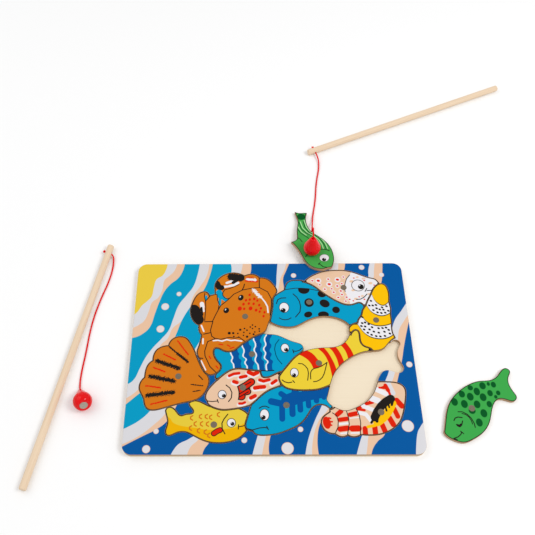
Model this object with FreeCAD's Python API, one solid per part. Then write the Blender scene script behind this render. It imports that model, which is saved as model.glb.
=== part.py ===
"""Magnetic fishing game: a plywood picture board with loose sea creatures and two rods.

The board is two sheets glued together. The lower one is whole. The upper one is cut right
through round every creature, so each creature drops back into its own recess. A steel pin in
each creature is what the magnet of a rod picks up. A rod is a dowel with a cotton line that is
knotted behind a cross hole and ends in a turned wooden float with a magnet in its base.

Eleven creatures lie in their recesses. The green spotted fish lies on the floor at the right.
The green striped fish hangs on the magnet of the second rod, laid down behind the board: its
tail is on the floor and its head leans on the board's back rim.

Lengths are in millimetres. The origin is the centre of the board's underside, +X to the
player's right, +Y away from the player and +Z up. The floor is the plane z = 0.
"""
import FreeCAD, Part
import math
import os
from FreeCAD import Placement, Rotation, Vector

# Board
board_width = 300.0
board_depth = 220.0
board_corner_radius = 10.0
base_thickness = 3.0
play_thickness = 4.0       # the upper sheet, which the creatures are sawn from
edge_ease = 0.4            # sanded round of the board's outer edges
saw_gap = 0.8              # from a creature's edge to whatever is next to it

# Steel pins, pressed into blind holes from the printed face
pin_diameter = 7.0
pin_length = 3.0
pin_proud = 0.15
pin_chamfer = 0.3

# Rods
rod_diameter = 7.6
rod_length = 286.0
rod_chamfer = 0.6
line_hole_diameter = 2.2
line_hole_from_tip = 9.0

# Lines, their stopper knots and floats
line_diameter = 1.8
knot_diameter = 4.6
knot_rod_gap = 0.05
float_diameter = 19.6
float_cone_angle = 26.0    # half angle of the neck; the float lies on this flank
float_nose_radius = 3.0
float_nose_round = 1.0
float_base_drop = 7.0      # from the widest circle down to the flat base
float_base_round = 1.2
float_bore_depth = 6.0
magnet_diameter = 8.4
magnet_length = 3.0
magnet_proud = 0.4
magnet_chamfer = 0.3

board_top = base_thickness + play_thickness

# Where the loose things lie
rod_1_butt = (-242.3, -142.9)
rod_1_heading = 78.6           # degrees from +X, butt to tip
rod_1_roll = 0.0               # 0 puts the knot on the left, looking from butt to tip
rod_2_tip = (53.2, 280.0)
rod_2_heading = 203.4
rod_2_roll = 180.0
float_1_centre = (-193.8, -55.9)
float_1_heading = 113.5        # the way its nose points
spotted_pin_beside_board = (51.8, -62.1)   # from the board's right edge and its middle
spotted_seat_pin = (88.7, -29.7)
spotted_seat_turn = -1.9       # from the way it lies on the floor to the way it seats
striped_pin_on_floor = (49.0, 124.0)
striped_turn = -71.3           # from its recess to the way it lies behind the board

# The picture fills the board, so it stretches with it. It was read at this width and depth.
read_on = (300.0, 220.0)

# Outlines, read off the picture in the board's frame, but for the green spotted fish, which was
# read about its own pin. Each creature is a list of strokes; a stroke is a smooth curve through
# its points and on to the first point of the next one, so a corner is where a stroke begins.
# Where two creatures meet, the one listed first keeps its whole outline, and the other passes
# under it and is sawn along it.
outlines = {
    "green_spotted_fish": [
        [(-31.6, -23.7), (-29.7, -17.1), (-26.4, -4.6), (-21.0, 7.1), (-11.8, 17.1), (0.7, 25.4),
         (14.0, 29.6), (24.9, 30.6), (32.4, 35.0), (38.2, 41.5), (43.2, 43.7), (46.6, 41.1),
         (44.0, 33.8), (42.8, 26.6), (46.1, 17.1), (47.9, 11.3), (44.5, 7.5), (35.7, 9.2),
         (28.7, 9.5), (21.5, 1.3), (16.5, -12.1), (9.0, -23.3), (-3.5, -31.7), (-14.3, -35.2),
         (-24.3, -32.1), (-30.3, -27.7)]],
    "green_striped_fish": [
        [(-7.8, 21.9), (-4.3, 25.6), (-2.8, 30.0)],
        [(-1.2, 35.0), (5.5, 30.9), (16.0, 28.2), (26.0, 28.9), (38.0, 35.0), (47.0, 39.2),
         (57.0, 41.2), (68.0, 40.2), (77.5, 36.6)],
        [(84.3, 30.8), (83.5, 26.5)],
        [(83.7, 21.8), (79.5, 12.9), (73.0, 7.8), (66.0, 5.8), (55.0, 5.2), (44.0, 3.9)],
        [(34.5, 0.9), (34.8, 4.8), (32.9, 8.6), (28.0, 11.0), (21.0, 13.4), (12.0, 17.9),
         (4.0, 20.7), (-3.0, 21.2)]],
    "crab": [
        [(-28.7, 93.7), (-25.0, 95.2), (-20.0, 95.8), (-15.0, 94.0)],
        [(-11.5, 90.8), (-7.3, 90.7), (-2.0, 88.5), (3.0, 83.0), (6.6, 77.0), (7.3, 73.0),
         (5.4, 69.3), (2.8, 64.5), (2.2, 57.0), (1.2, 48.5), (-0.5, 39.5), (-2.4, 32.0),
         (-4.2, 27.0), (-7.6, 22.6), (-13.0, 20.2), (-19.0, 17.2), (-26.0, 12.7),
         (-33.0, 7.5), (-39.0, 2.3), (-45.0, 0.3), (-51.0, 1.4), (-57.0, 4.3), (-60.4, 4.0),
         (-62.0, 0.0), (-61.0, -5.5), (-57.5, -11.3), (-54.2, -15.2), (-53.8, -18.5),
         (-56.0, -22.5), (-60.0, -25.3), (-65.0, -26.4), (-69.4, -24.0), (-72.7, -19.0),
         (-75.2, -13.3)],
        [(-75.7, -8.0), (-78.3, -4.0), (-78.9, 0.5), (-77.2, 7.0), (-75.7, 14.0)],
        [(-74.8, 20.0), (-77.3, 23.5), (-78.2, 27.5)],
        [(-78.0, 31.8), (-82.5, 34.5), (-86.2, 40.0), (-88.0, 46.5), (-87.9, 52.5),
         (-86.0, 59.5), (-83.0, 66.8), (-78.5, 71.7), (-74.0, 73.2)],
        [(-68.0, 68.1), (-64.5, 68.8)],
        [(-61.2, 70.0), (-61.7, 76.0), (-61.9, 81.0), (-60.7, 85.5), (-57.5, 90.3),
         (-52.0, 94.8), (-45.5, 97.3), (-39.0, 97.6), (-33.5, 96.2)]],
    "scallop_shell": [
        [(-109.7, 6.9), (-108.5, 11.5), (-104.5, 15.8), (-98.0, 17.6), (-92.0, 16.2),
         (-87.3, 10.6), (-82.5, 2.0), (-79.3, -6.5), (-75.8, -14.5), (-71.5, -22.5),
         (-67.0, -28.0), (-65.6, -33.5), (-66.8, -39.5), (-70.0, -46.0), (-75.5, -51.8),
         (-82.0, -54.7), (-92.0, -56.8), (-102.0, -59.5), (-112.0, -62.5), (-121.0, -64.4),
         (-127.5, -63.0), (-130.7, -58.0)],
        [(-131.8, -52.8), (-134.5, -47.8), (-137.4, -41.5), (-136.7, -34.8)],
        [(-132.7, -29.2), (-132.3, -22.0), (-130.2, -15.0)],
        [(-125.3, -10.2), (-125.0, -4.0), (-122.0, 2.3), (-116.5, 5.8)]],
    "cone_shell": [
        [(130.7, 20.5), (130.4, 30.0), (131.0, 39.0), (130.9, 44.5), (131.8, 50.5),
         (131.0, 59.0), (131.8, 68.0), (131.0, 76.0), (128.4, 81.3), (125.0, 82.6),
         (120.3, 80.8), (115.3, 75.2), (111.6, 67.5), (108.0, 61.0), (104.5, 53.7),
         (101.3, 48.8), (99.8, 43.5), (96.2, 38.0)],
        [(94.7, 33.4), (89.5, 31.9), (85.8, 29.0), (84.3, 24.5)],
        [(85.7, 20.5), (88.5, 24.3), (91.5, 25.6), (94.3, 24.0), (95.4, 20.0), (95.4, 14.5),
         (96.6, 9.0), (100.3, 5.6), (104.6, 4.0)],
        [(107.6, 0.6), (113.0, 1.0), (118.5, 2.8), (123.0, 7.0), (127.0, 11.6)],
        [(132.6, 15.6), (131.8, 18.0)]],
    "striped_fish": [
        [(7.9, -28.0), (7.7, -31.5), (9.0, -35.3), (13.0, -39.8), (20.0, -42.3),
         (29.0, -43.2), (39.0, -43.1), (48.0, -42.0), (55.0, -39.6)],
        [(62.5, -36.5), (64.6, -30.5), (68.5, -23.5), (75.5, -16.5), (85.0, -9.5),
         (97.0, -4.8)],
        [(108.5, -2.0), (104.0, 7.0), (98.5, 14.0), (96.5, 24.0), (91.5, 28.8),
         (87.0, 25.6)],
        [(85.5, 20.5), (82.0, 17.5), (78.0, 13.5), (72.0, 9.0), (66.0, 7.0), (57.0, 6.6),
         (48.0, 5.7), (40.0, 4.0)],
        [(34.0, 1.0), (30.7, -2.2), (27.3, -4.8), (23.3, -8.4), (19.3, -13.0),
         (15.3, -18.0), (11.3, -23.0)]],
    "blotched_fish": [
        [(-68.6, -50.5), (-68.2, -47.5), (-66.0, -42.8), (-62.3, -38.0), (-56.4, -31.8),
         (-49.3, -25.6), (-43.0, -21.6), (-37.0, -20.0), (-30.0, -20.3), (-21.0, -21.6)],
        [(-12.4, -22.2), (-11.8, -26.2), (-10.0, -29.1), (-6.0, -29.8), (0.0, -27.9)],
        [(12.0, -23.5), (13.0, -30.0)],
        [(13.0, -36.6), (8.0, -38.4), (1.0, -41.0), (-6.0, -44.5), (-13.0, -50.0),
         (-19.3, -56.0)],
        [(-23.5, -59.5), (-32.0, -61.8), (-42.0, -63.4), (-52.0, -63.9), (-60.0, -61.7),
         (-65.3, -58.4)],
        [(-66.9, -54.7), (-68.2, -52.8)]],
    "ribbed_fish": [
        [(61.0, -62.3), (58.5, -63.2), (54.5, -60.4), (50.5, -58.9), (46.8, -58.7),
         (43.0, -60.0), (39.0, -63.3), (35.5, -68.5), (31.0, -74.8), (25.5, -79.8),
         (16.0, -84.6), (6.0, -88.4), (-4.0, -90.2), (-13.0, -90.4), (-17.6, -89.2)],
        [(-20.3, -86.2), (-24.0, -85.6), (-26.9, -83.2), (-27.5, -79.8), (-26.3, -74.8),
         (-24.3, -68.0), (-22.6, -62.3), (-20.5, -57.0), (-16.0, -50.0), (-8.0, -42.5),
         (2.0, -37.5), (12.0, -35.5)],
        [(30.0, -39.0), (45.0, -39.0)],
        [(60.5, -34.0), (60.6, -40.0), (59.4, -46.0), (58.0, -51.0), (57.8, -54.5),
         (59.3, -58.5)]],
    "speckled_fish": [
        [(38.7, 85.6), (42.2, 89.1), (46.6, 92.6), (51.5, 95.2), (58.0, 98.0), (67.0, 100.0),
         (77.0, 100.6), (86.0, 100.0), (95.0, 97.6), (105.7, 93.0), (113.0, 90.3),
         (118.3, 88.7), (121.6, 84.8)],
        [(123.5, 80.5), (120.0, 73.0), (115.0, 65.0), (110.0, 57.5)],
        [(105.4, 50.8), (103.7, 54.3), (101.8, 57.3), (98.7, 59.1), (95.3, 58.5),
         (90.9, 56.9), (86.6, 56.3), (82.2, 56.9), (77.0, 59.1), (71.8, 62.1), (64.0, 67.7),
         (56.1, 74.3), (51.0, 79.0), (45.5, 82.8)]],
    "spotted_fish": [
        [(16.3, 75.2), (13.5, 73.4), (10.0, 71.3), (6.1, 68.2), (2.8, 65.0), (0.5, 60.0),
         (0.0, 54.0), (-0.8, 48.5)],
        [(-3.0, 38.0), (1.0, 32.0), (6.0, 28.5), (15.0, 26.3), (26.0, 26.9), (37.0, 32.0),
         (46.0, 36.5), (57.0, 39.0), (68.0, 38.0), (77.0, 34.8)],
        [(83.8, 28.0), (90.0, 29.5), (97.5, 34.5), (101.5, 42.0), (105.0, 49.5)],
        [(106.0, 54.5), (103.5, 58.0), (99.0, 61.3), (94.5, 60.6), (86.6, 58.5),
         (78.5, 61.2), (73.0, 64.3), (65.0, 69.9), (57.5, 76.2), (52.0, 81.5)],
        [(39.2, 86.2), (34.4, 87.2), (29.2, 87.5), (24.0, 86.9), (20.0, 84.5),
         (17.8, 80.8)]],
    "wavy_fish": [
        [(-58.4, -31.0), (-58.8, -27.5), (-57.4, -24.0), (-56.2, -20.0), (-56.5, -16.0),
         (-61.0, -9.5), (-64.0, -3.0), (-63.6, 3.0), (-60.5, 6.3), (-56.0, 6.3),
         (-50.0, 3.7), (-45.0, 2.6), (-39.0, 4.8), (-32.0, 10.2), (-25.0, 15.2),
         (-18.0, 19.6), (-10.0, 22.8), (-3.0, 23.4), (3.0, 23.0), (10.0, 20.8),
         (19.0, 16.3), (27.0, 13.0), (33.0, 10.6), (36.2, 6.4)],
        [(36.0, 1.0), (31.0, -4.8), (27.0, -8.2), (22.5, -13.2), (17.5, -19.7)],
        [(11.5, -28.5), (5.0, -28.8), (-2.0, -31.2), (-8.0, -32.2), (-12.5, -31.0),
         (-14.5, -27.5)],
        [(-15.0, -24.3), (-22.0, -24.0), (-30.0, -22.8), (-37.0, -22.4), (-42.0, -23.6),
         (-48.0, -27.7), (-54.0, -32.5)]],
    "goldfish": [
        [(-108.6, -65.3), (-107.7, -63.0), (-105.2, -61.7), (-102.0, -62.4), (-98.5, -65.5),
         (-95.3, -69.4), (-92.4, -70.6), (-88.5, -69.3), (-83.5, -68.7), (-80.7, -67.5),
         (-80.5, -65.0), (-82.8, -61.8), (-84.9, -58.5), (-84.7, -56.3), (-82.5, -55.1),
         (-77.5, -55.0), (-72.8, -56.6)],
        [(-64.5, -60.8), (-58.0, -60.0), (-50.0, -61.6), (-43.0, -61.6), (-36.0, -62.9),
         (-32.8, -64.0), (-29.4, -65.8), (-26.0, -68.6)],
        [(-23.0, -72.5), (-24.5, -79.0)],
        [(-25.0, -84.0), (-28.4, -87.9), (-31.5, -91.1), (-36.0, -94.2), (-42.0, -96.6),
         (-49.0, -97.9), (-57.0, -98.1), (-65.0, -97.0), (-73.0, -94.0), (-81.0, -89.8),
         (-86.5, -87.3), (-92.0, -86.8), (-97.5, -88.2), (-103.0, -90.6), (-106.0, -90.2),
         (-107.4, -87.5), (-106.5, -82.0), (-105.8, -76.0), (-107.0, -71.0)]],
    "whelk_shell": [
        [(106.8, -34.6), (112.3, -34.6), (120.0, -34.8), (127.0, -35.5), (132.0, -37.4),
         (135.3, -40.8), (136.2, -45.5), (135.2, -52.5), (133.0, -61.5), (130.0, -70.3),
         (126.5, -77.0), (121.0, -82.5), (113.5, -87.0), (105.0, -89.7), (96.5, -90.5)],
        [(87.0, -90.0), (83.5, -91.6), (79.7, -92.3), (76.3, -91.8)],
        [(74.0, -90.4), (71.0, -91.7), (67.5, -92.2), (64.3, -91.2)],
        [(61.3, -89.0), (56.3, -88.5), (51.8, -86.0), (49.0, -81.5), (48.3, -77.0),
         (50.3, -72.4), (54.3, -69.0)],
        [(57.9, -66.6), (57.6, -64.6)],
        [(59.3, -62.0), (65.0, -61.0), (72.0, -62.3), (80.0, -62.0), (87.0, -59.0),
         (94.0, -54.3), (99.5, -49.3), (103.0, -43.0), (105.0, -38.0)]],
}
pins = {
    "green_spotted_fish": (0.0, 0.0),
    "green_striped_fish": (56.0, 18.0),
    "crab": (-28.0, 42.0),
    "scallop_shell": (-97.7, -28.0),
    "cone_shell": (114.7, 37.0),
    "striped_fish": (49.5, -13.5),
    "blotched_fish": (-30.5, -40.5),
    "ribbed_fish": (13.8, -59.6),
    "speckled_fish": (82.5, 78.0),
    "spotted_fish": (43.0, 59.5),
    "wavy_fish": (-20.7, -3.0),
    "goldfish": (-59.5, -79.8),
    "whelk_shell": (109.0, -67.0),
}

# Scraps of the upper sheet that creatures close in on all sides, glued down where they are
fillers = {
    "filler_left": (-62.0, -32.5),
    "filler_low": (-91.0, -64.5),
    "filler_middle": (-28.0, -63.5),
}


# Outlines


def fitted(point):
    """A point of the picture where it lies on the board."""
    return point[0] * (board_width / read_on[0]), point[1] * (board_depth / read_on[1])


def stroke_points(strokes):
    """Each stroke's points with the first point of the next stroke added."""
    following = strokes[1:] + strokes[:1]
    return [[Vector(x, y, 0) for x, y in here + after[:1]]
            for here, after in zip(strokes, following)]


def curve_through(points, closed=False):
    """A smooth curve through the points; a closed one doesn't repeat its first point."""
    curve = Part.BSplineCurve()
    curve.interpolate(Points=points, PeriodicFlag=closed)
    return curve


def is_anticlockwise(strokes):
    """True when the outline's points run anticlockwise seen from above."""
    loop = [point for stroke in strokes for point in stroke]
    turned = loop[1:] + loop[:1]
    return sum(a[0] * b[1] - b[0] * a[1] for a, b in zip(loop, turned)) > 0


def outward(curve, point, side):
    """The unit normal of the curve at one of its points; side is +1 for anticlockwise."""
    tangent = curve.tangent(curve.parameter(point))[0]
    return Vector(side * tangent.y, -side * tangent.x, 0)


def corner_shift(before, after, grow):
    """How far a corner moves when both curves that meet there move out by grow."""
    both = before + after
    reach = 2.0 / max(both.Length ** 2, 0.8)
    return both * (grow * reach)


def outline_face(strokes, grow=0.0):
    """A flat face inside the outline, with every edge moved out by grow."""
    side = 1 if is_anticlockwise(strokes) else -1
    if len(strokes) == 1:
        points = [Vector(x, y, 0) for x, y in strokes[0]]
        if grow:
            curve = curve_through(points, closed=True)
            points = [p + outward(curve, p, side) * grow for p in points]
        return Part.Face(Part.Wire([curve_through(points, closed=True).toShape()]))
    runs = stroke_points(strokes)
    if grow:
        curves = [curve_through(run) for run in runs]
        starts = [outward(c, run[0], side) for c, run in zip(curves, runs)]
        ends = [outward(c, run[-1], side) for c, run in zip(curves, runs)]
        corners = [run[0] + corner_shift(ends[i - 1], starts[i], grow)
                   for i, run in enumerate(runs)]
        runs = [[corners[i]]
                + [p + outward(curves[i], p, side) * grow for p in run[1:-1]]
                + [corners[(i + 1) % len(runs)]] for i, run in enumerate(runs)]
    return Part.Face(Part.Wire([curve_through(run).toShape() for run in runs]))


def placed_at(point, turn, pin):
    """Turns about the pin, then moves the pin to the point."""
    turning = Placement(Vector(0, 0, 0), Rotation(Vector(0, 0, 1), turn),
                        Vector(pin[0], pin[1], 0))
    moving = Placement(Vector(point[0] - pin[0], point[1] - pin[1], 0), Rotation())
    return moving.multiply(turning)


def in_its_recess(name, shape):
    """The shape where the creature seats; only one outline was read away from its recess."""
    if name != "green_spotted_fish":
        return shape
    seat = placed_at(fitted(spotted_seat_pin), spotted_seat_turn, fitted(pins[name]))
    return shape.transformed(seat.toMatrix())


def largest(shape):
    """The biggest face of what a cut leaves."""
    return max(shape.Faces, key=lambda face: face.Area)


# Board


def rounded_sheet(height):
    """The board's outline, raised by height from z = 0."""
    sheet = Part.makeBox(board_width, board_depth, height,
                         Vector(-board_width / 2, -board_depth / 2, 0))
    uprights = [e for e in sheet.Edges if e.BoundBox.ZLength > height / 2]
    return sheet.makeFillet(board_corner_radius, uprights)


def outer_edges(shape, level):
    """The edges of the board's own outline that lie at a level."""
    def on_outline(edge):
        box = edge.BoundBox
        mid = edge.valueAt((edge.FirstParameter + edge.LastParameter) / 2)
        flat = box.ZLength < 0.01 and abs(box.ZMin - level) < 0.01
        reach_x = board_width / 2 - abs(mid.x)
        reach_y = board_depth / 2 - abs(mid.y)
        corner = math.hypot(board_corner_radius - reach_x, board_corner_radius - reach_y)
        in_corner = reach_x < board_corner_radius and reach_y < board_corner_radius
        round_edge = in_corner and abs(corner - board_corner_radius) < 0.05
        return flat and (reach_x < 0.05 or reach_y < 0.05 or round_edge)
    return [edge for edge in shape.Edges if on_outline(edge)]


def base_board():
    """The whole lower sheet, with its bottom edge sanded."""
    sheet = rounded_sheet(base_thickness)
    return sheet.makeFillet(edge_ease, outer_edges(sheet, 0))


def upper_sheet_faces(cuts):
    """The upper sheet after sawing: a frame and the scraps between the creatures."""
    sheet = rounded_sheet(play_thickness)
    top = next(f for f in sheet.Faces if f.BoundBox.ZMin > play_thickness - 0.01)
    flat = top.translated(Vector(0, 0, -play_thickness))
    return flat.cut(cuts).Faces


def raised(face):
    """A flat face made a piece of the upper sheet, on top of the lower one."""
    return face.extrude(Vector(0, 0, play_thickness)).translated(Vector(0, 0, base_thickness))


def play_board(faces):
    """The frame round all the recesses, with its top edge sanded."""
    frame = raised(max(faces, key=lambda face: face.BoundBox.DiagonalLength))
    return frame.makeFillet(edge_ease, outer_edges(frame, board_top))


def filler(faces, place):
    """The scrap that covers a place."""
    return raised(next(f for f in faces if f.isInside(Vector(place[0], place[1], 0), 0.01, True)))


# Creatures


def pin_solid():
    """A pin with its foot at the origin and its chamfered face up."""
    pin = Part.makeCylinder(pin_diameter / 2, pin_length)
    rim = [e for e in pin.Edges if e.BoundBox.ZMin > pin_length / 2]
    return pin.makeChamfer(pin_chamfer, rim)


def pin_foot():
    """Height of a pin's foot above the creature's underside."""
    return play_thickness + pin_proud - pin_length


def drilled(solid, pin_at):
    """A creature with its blind pin hole, before it leaves the z = 0 plane."""
    hole = Part.makeCylinder(pin_diameter / 2, play_thickness,
                             Vector(pin_at[0], pin_at[1], pin_foot()))
    return solid.cut(hole)


def seated_creatures():
    """Every creature cut from the sheet, flat at z = 0, where it lies in its recess or, for the
    green spotted fish, about its own pin."""
    grown = {}
    solids = {}
    for name, read in outlines.items():
        strokes = [[fitted(point) for point in stroke] for stroke in read]
        own = in_its_recess(name, outline_face(strokes))
        if grown:
            own = largest(own.cut(list(grown.values())))
        grown[name] = in_its_recess(name, outline_face(strokes, saw_gap))
        if name == "green_spotted_fish":
            own = outline_face(strokes)
        solids[name] = drilled(own.extrude(Vector(0, 0, play_thickness)), fitted(pins[name]))
    return solids, list(grown.values())


def leaning(solid):
    """How the green striped fish leans: turned flat about its pin, then tipped about its tail
    end until its underside meets the top edge of the board's back rim."""
    flat = placed_at(striped_pin_on_floor, striped_turn, fitted(pins["green_striped_fish"]))
    tail_y = solid.transformed(flat.toMatrix()).BoundBox.YMax
    slope = math.degrees(math.atan2(board_top, tail_y - board_depth / 2))
    tipping = Placement(Vector(0, 0, 0), Rotation(Vector(1, 0, 0), -slope),
                        Vector(0, tail_y, 0))
    return tipping.multiply(flat)


# Rods, floats and magnets


def rod_solid():
    """A dowel along +X from its butt at the origin, with its cross hole along Y."""
    dowel = Part.makeCylinder(rod_diameter / 2, rod_length, Vector(0, 0, 0), Vector(1, 0, 0))
    rims = [e for e in dowel.Edges if e.BoundBox.XLength < 0.01]
    dowel = dowel.makeChamfer(rod_chamfer, rims)
    hole = Part.makeCylinder(line_hole_diameter / 2, rod_diameter + 2,
                             Vector(rod_length - line_hole_from_tip, -rod_diameter / 2 - 1, 0),
                             Vector(0, 1, 0))
    return dowel.cut(hole)


def rod_placement(butt, heading, roll):
    """Lays a rod on the floor with its butt at a point and its tip towards the heading."""
    rolling = Placement(Vector(0, 0, 0), Rotation(Vector(1, 0, 0), roll))
    laying = Placement(Vector(butt[0], butt[1], rod_diameter / 2),
                       Rotation(Vector(0, 0, 1), heading))
    return laying.multiply(rolling)


def knot_solid():
    """A stopper knot in a rod's frame, bearing on the +Y side of the rod's cross hole."""
    flat_at = rod_diameter / 2 + knot_rod_gap
    radius = knot_diameter / 2
    centre_out = flat_at + 0.75 * radius
    ball = Part.makeSphere(radius, Vector(rod_length - line_hole_from_tip, centre_out, 0))
    off = Part.makeBox(4 * radius, 2 * radius, 4 * radius,
                       Vector(rod_length - line_hole_from_tip - 2 * radius,
                              flat_at - 2 * radius, -2 * radius))
    return ball.cut(off)


def float_nose_height():
    """Height of the float's nose above its widest circle."""
    slant = math.radians(float_cone_angle)
    return float_diameter / 2 / math.sin(slant) - float_nose_radius / math.tan(slant)


def float_solid():
    """A turned float with its magnet's face on z = 0 and its nose up."""
    radius = float_diameter / 2
    slant = math.radians(float_cone_angle)
    base_z = magnet_proud
    centre_z = base_z + float_base_drop
    nose_z = centre_z + float_nose_height()
    base_radius = math.sqrt(radius ** 2 - float_base_drop ** 2)
    touch = Vector(radius * math.cos(slant), 0, centre_z + radius * math.sin(slant))
    corners = [Vector(0, 0, base_z), Vector(base_radius, 0, base_z), touch,
               Vector(float_nose_radius, 0, nose_z), Vector(0, 0, nose_z)]
    belly = Part.Arc(corners[1], Vector(radius, 0, centre_z), touch).toShape()
    profile = Part.Wire([Part.makeLine(corners[0], corners[1]), belly,
                         Part.makeLine(touch, corners[3]), Part.makeLine(corners[3], corners[4]),
                         Part.makeLine(corners[4], corners[0])])
    body = Part.Face(profile).revolve(Vector(0, 0, 0), Vector(0, 0, 1), 360)
    rims = {float_base_round: base_z, float_nose_round: nose_z}
    for round_off, level in rims.items():
        rim = [e for e in body.Edges
               if e.BoundBox.ZLength < 0.01 and abs(e.BoundBox.ZMin - level) < 0.01]
        body = body.makeFillet(round_off, rim)
    bore = Part.makeCylinder(line_hole_diameter / 2, float_bore_depth + 1,
                             Vector(0, 0, nose_z - float_bore_depth))
    socket = Part.makeCylinder(magnet_diameter / 2, magnet_length)
    return body.cut([bore, socket])


def magnet_solid():
    """A disc magnet with its chamfered face on z = 0."""
    disc = Part.makeCylinder(magnet_diameter / 2, magnet_length)
    rim = [e for e in disc.Edges if e.BoundBox.ZMax < magnet_length / 2]
    return disc.makeChamfer(magnet_chamfer, rim)


def float_lying(centre, heading):
    """Lays a float on its conical flank, with its nose towards the heading."""
    drop = Placement(Vector(0, 0, -magnet_proud - float_base_drop), Rotation())
    tilt = Placement(Vector(0, 0, 0), Rotation(Vector(0, 1, 0), 90 + float_cone_angle))
    turn = Placement(Vector(centre[0], centre[1], float_diameter / 2),
                     Rotation(Vector(0, 0, 1), heading))
    return turn.multiply(tilt).multiply(drop)


def float_standing(lean):
    """Stands a float on the pin of the green striped fish, with the fish's own lean."""
    x, y = fitted(pins["green_striped_fish"])
    on_pin = Placement(Vector(x, y, play_thickness + pin_proud), Rotation())
    return lean.multiply(on_pin)


# Lines


def line_entry(placement):
    """Where a line enters its float: the bottom of the bore and a point out past the nose."""
    nose_z = magnet_proud + float_base_drop + float_nose_height()
    foot = placement.multVec(Vector(0, 0, nose_z - float_bore_depth))
    past = placement.multVec(Vector(0, 0, nose_z + line_clear_of_nose))
    return foot, past


def line_exit(placement):
    """Where a line starts, against its knot behind the rod, and where it starts to bend."""
    hole_x = rod_length - line_hole_from_tip
    knot_y = rod_diameter / 2 + knot_rod_gap
    start = placement.multVec(Vector(hole_x, knot_y, 0))
    bend = placement.multVec(Vector(hole_x, knot_y - line_straight_at_rod, 0))
    return start, bend


def line_tube(name, points):
    """A tube along straight runs joined by tangent arcs, each as large as its runs allow."""
    edges = []
    at = points[0]
    for before, corner, after in zip(points, points[1:], points[2:]):
        to_before = (before - corner).normalize()
        to_after = (after - corner).normalize()
        half_turn = (math.pi - to_before.getAngle(to_after)) / 2
        shorter = min(corner.distanceToPoint(before), corner.distanceToPoint(after))
        reach = 0.45 * shorter
        radius = reach / math.tan(half_turn)
        bisector = (to_before + to_after).normalize()
        middle = corner + bisector * (radius / math.cos(half_turn) - radius)
        arc_from = corner + to_before * reach
        arc_to = corner + to_after * reach
        edges.append(Part.LineSegment(at, arc_from).toShape())
        edges.append(Part.Arc(arc_from, middle, arc_to).toShape())
        at = arc_to
        print(f"{name}: turn {math.degrees(2 * half_turn):5.1f} deg, radius {radius:6.1f} mm")
    edges.append(Part.LineSegment(at, points[-1]).toShape())
    path = Part.Wire(edges)
    section = Part.Wire([Part.makeCircle(line_diameter / 2, points[0],
                                         (points[1] - points[0]).normalize())])
    tube = path.makePipeShell([section], True, True)
    expected = math.pi * line_diameter ** 2 / 4 * path.Length
    print(f"{name}: length {path.Length:.1f} mm, volume {tube.Volume:.1f} of {expected:.1f} mm3")
    return tube


line_on_floor = 0.92       # height of a line's middle where it lies on the floor
line_clear_of_nose = 4.0
line_straight_at_rod = 13.0

# Routes between the bend at a rod and the point past a float's nose. The second line drops from
# its float to the fish's back and runs off its edge to the floor.
line_1_route = [(-179.0, 113.5, line_on_floor), (-183.0, 93.0, line_on_floor),
                (-192.3, 62.0, line_on_floor), (-197.6, 33.0, line_on_floor),
                (-199.2, 1.0, line_on_floor), (-201.4, -22.0, line_on_floor)]
line_2_route = [(66.5, 259.5, line_on_floor), (60.8, 232.0, line_on_floor),
                (58.5, 205.5, line_on_floor), (53.6, 180.0, line_on_floor),
                (52.2, 164.3, 4.3), (50.4, 150.2, 11.3), (49.8, 144.5, 27.5),
                (49.3, 137.0, 40.0)]


# Assembly


def write(name, shape):
    shape.exportStep(os.path.join("parts", name + ".step"))


def main():
    os.makedirs("parts", exist_ok=True)
    creatures, cuts = seated_creatures()
    faces = upper_sheet_faces(cuts)
    write("base_board", base_board())
    write("play_board", play_board(faces))
    for name, place in fillers.items():
        write(name, filler(faces, fitted(place)))

    lean = leaning(creatures["green_striped_fish"])
    seat = Placement(Vector(0, 0, base_thickness), Rotation())
    beside = Placement(Vector(board_width / 2 + spotted_pin_beside_board[0],
                              spotted_pin_beside_board[1], 0), Rotation())
    lies = {"green_striped_fish": lean, "green_spotted_fish": beside}
    for name, solid in creatures.items():
        where = lies.get(name, seat)
        x, y = fitted(pins[name])
        pin = pin_solid().translated(Vector(x, y, pin_foot()))
        write(name, solid.transformed(where.toMatrix()))
        write("pin_" + name, pin.transformed(where.toMatrix()))

    tip_x = rod_length * math.cos(math.radians(rod_2_heading))
    tip_y = rod_length * math.sin(math.radians(rod_2_heading))
    rod_2_butt = (rod_2_tip[0] - tip_x, rod_2_tip[1] - tip_y)
    rods = {"1": rod_placement(rod_1_butt, rod_1_heading, rod_1_roll),
            "2": rod_placement(rod_2_butt, rod_2_heading, rod_2_roll)}
    floats = {"1": float_lying(float_1_centre, float_1_heading), "2": float_standing(lean)}
    routes = {"1": line_1_route, "2": line_2_route}
    for number, rod in rods.items():
        on_float = floats[number]
        foot, past = line_entry(on_float)
        middle = [Vector(*point) for point in routes[number]]
        points = list(line_exit(rod)) + middle + [past, foot]
        write("rod_" + number, rod_solid().transformed(rod.toMatrix()))
        write("knot_" + number, knot_solid().transformed(rod.toMatrix()))
        write("float_" + number, float_solid().transformed(on_float.toMatrix()))
        write("magnet_" + number, magnet_solid().transformed(on_float.toMatrix()))
        write("line_" + number, line_tube("line_" + number, points))
        print("line_" + number, "route", [tuple(round(c, 2) for c in p) for p in points])


main()
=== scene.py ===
import bpy
import numpy as np
from mathutils import Matrix, Vector
from mathutils.geometry import delaunay_2d_cdt


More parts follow.
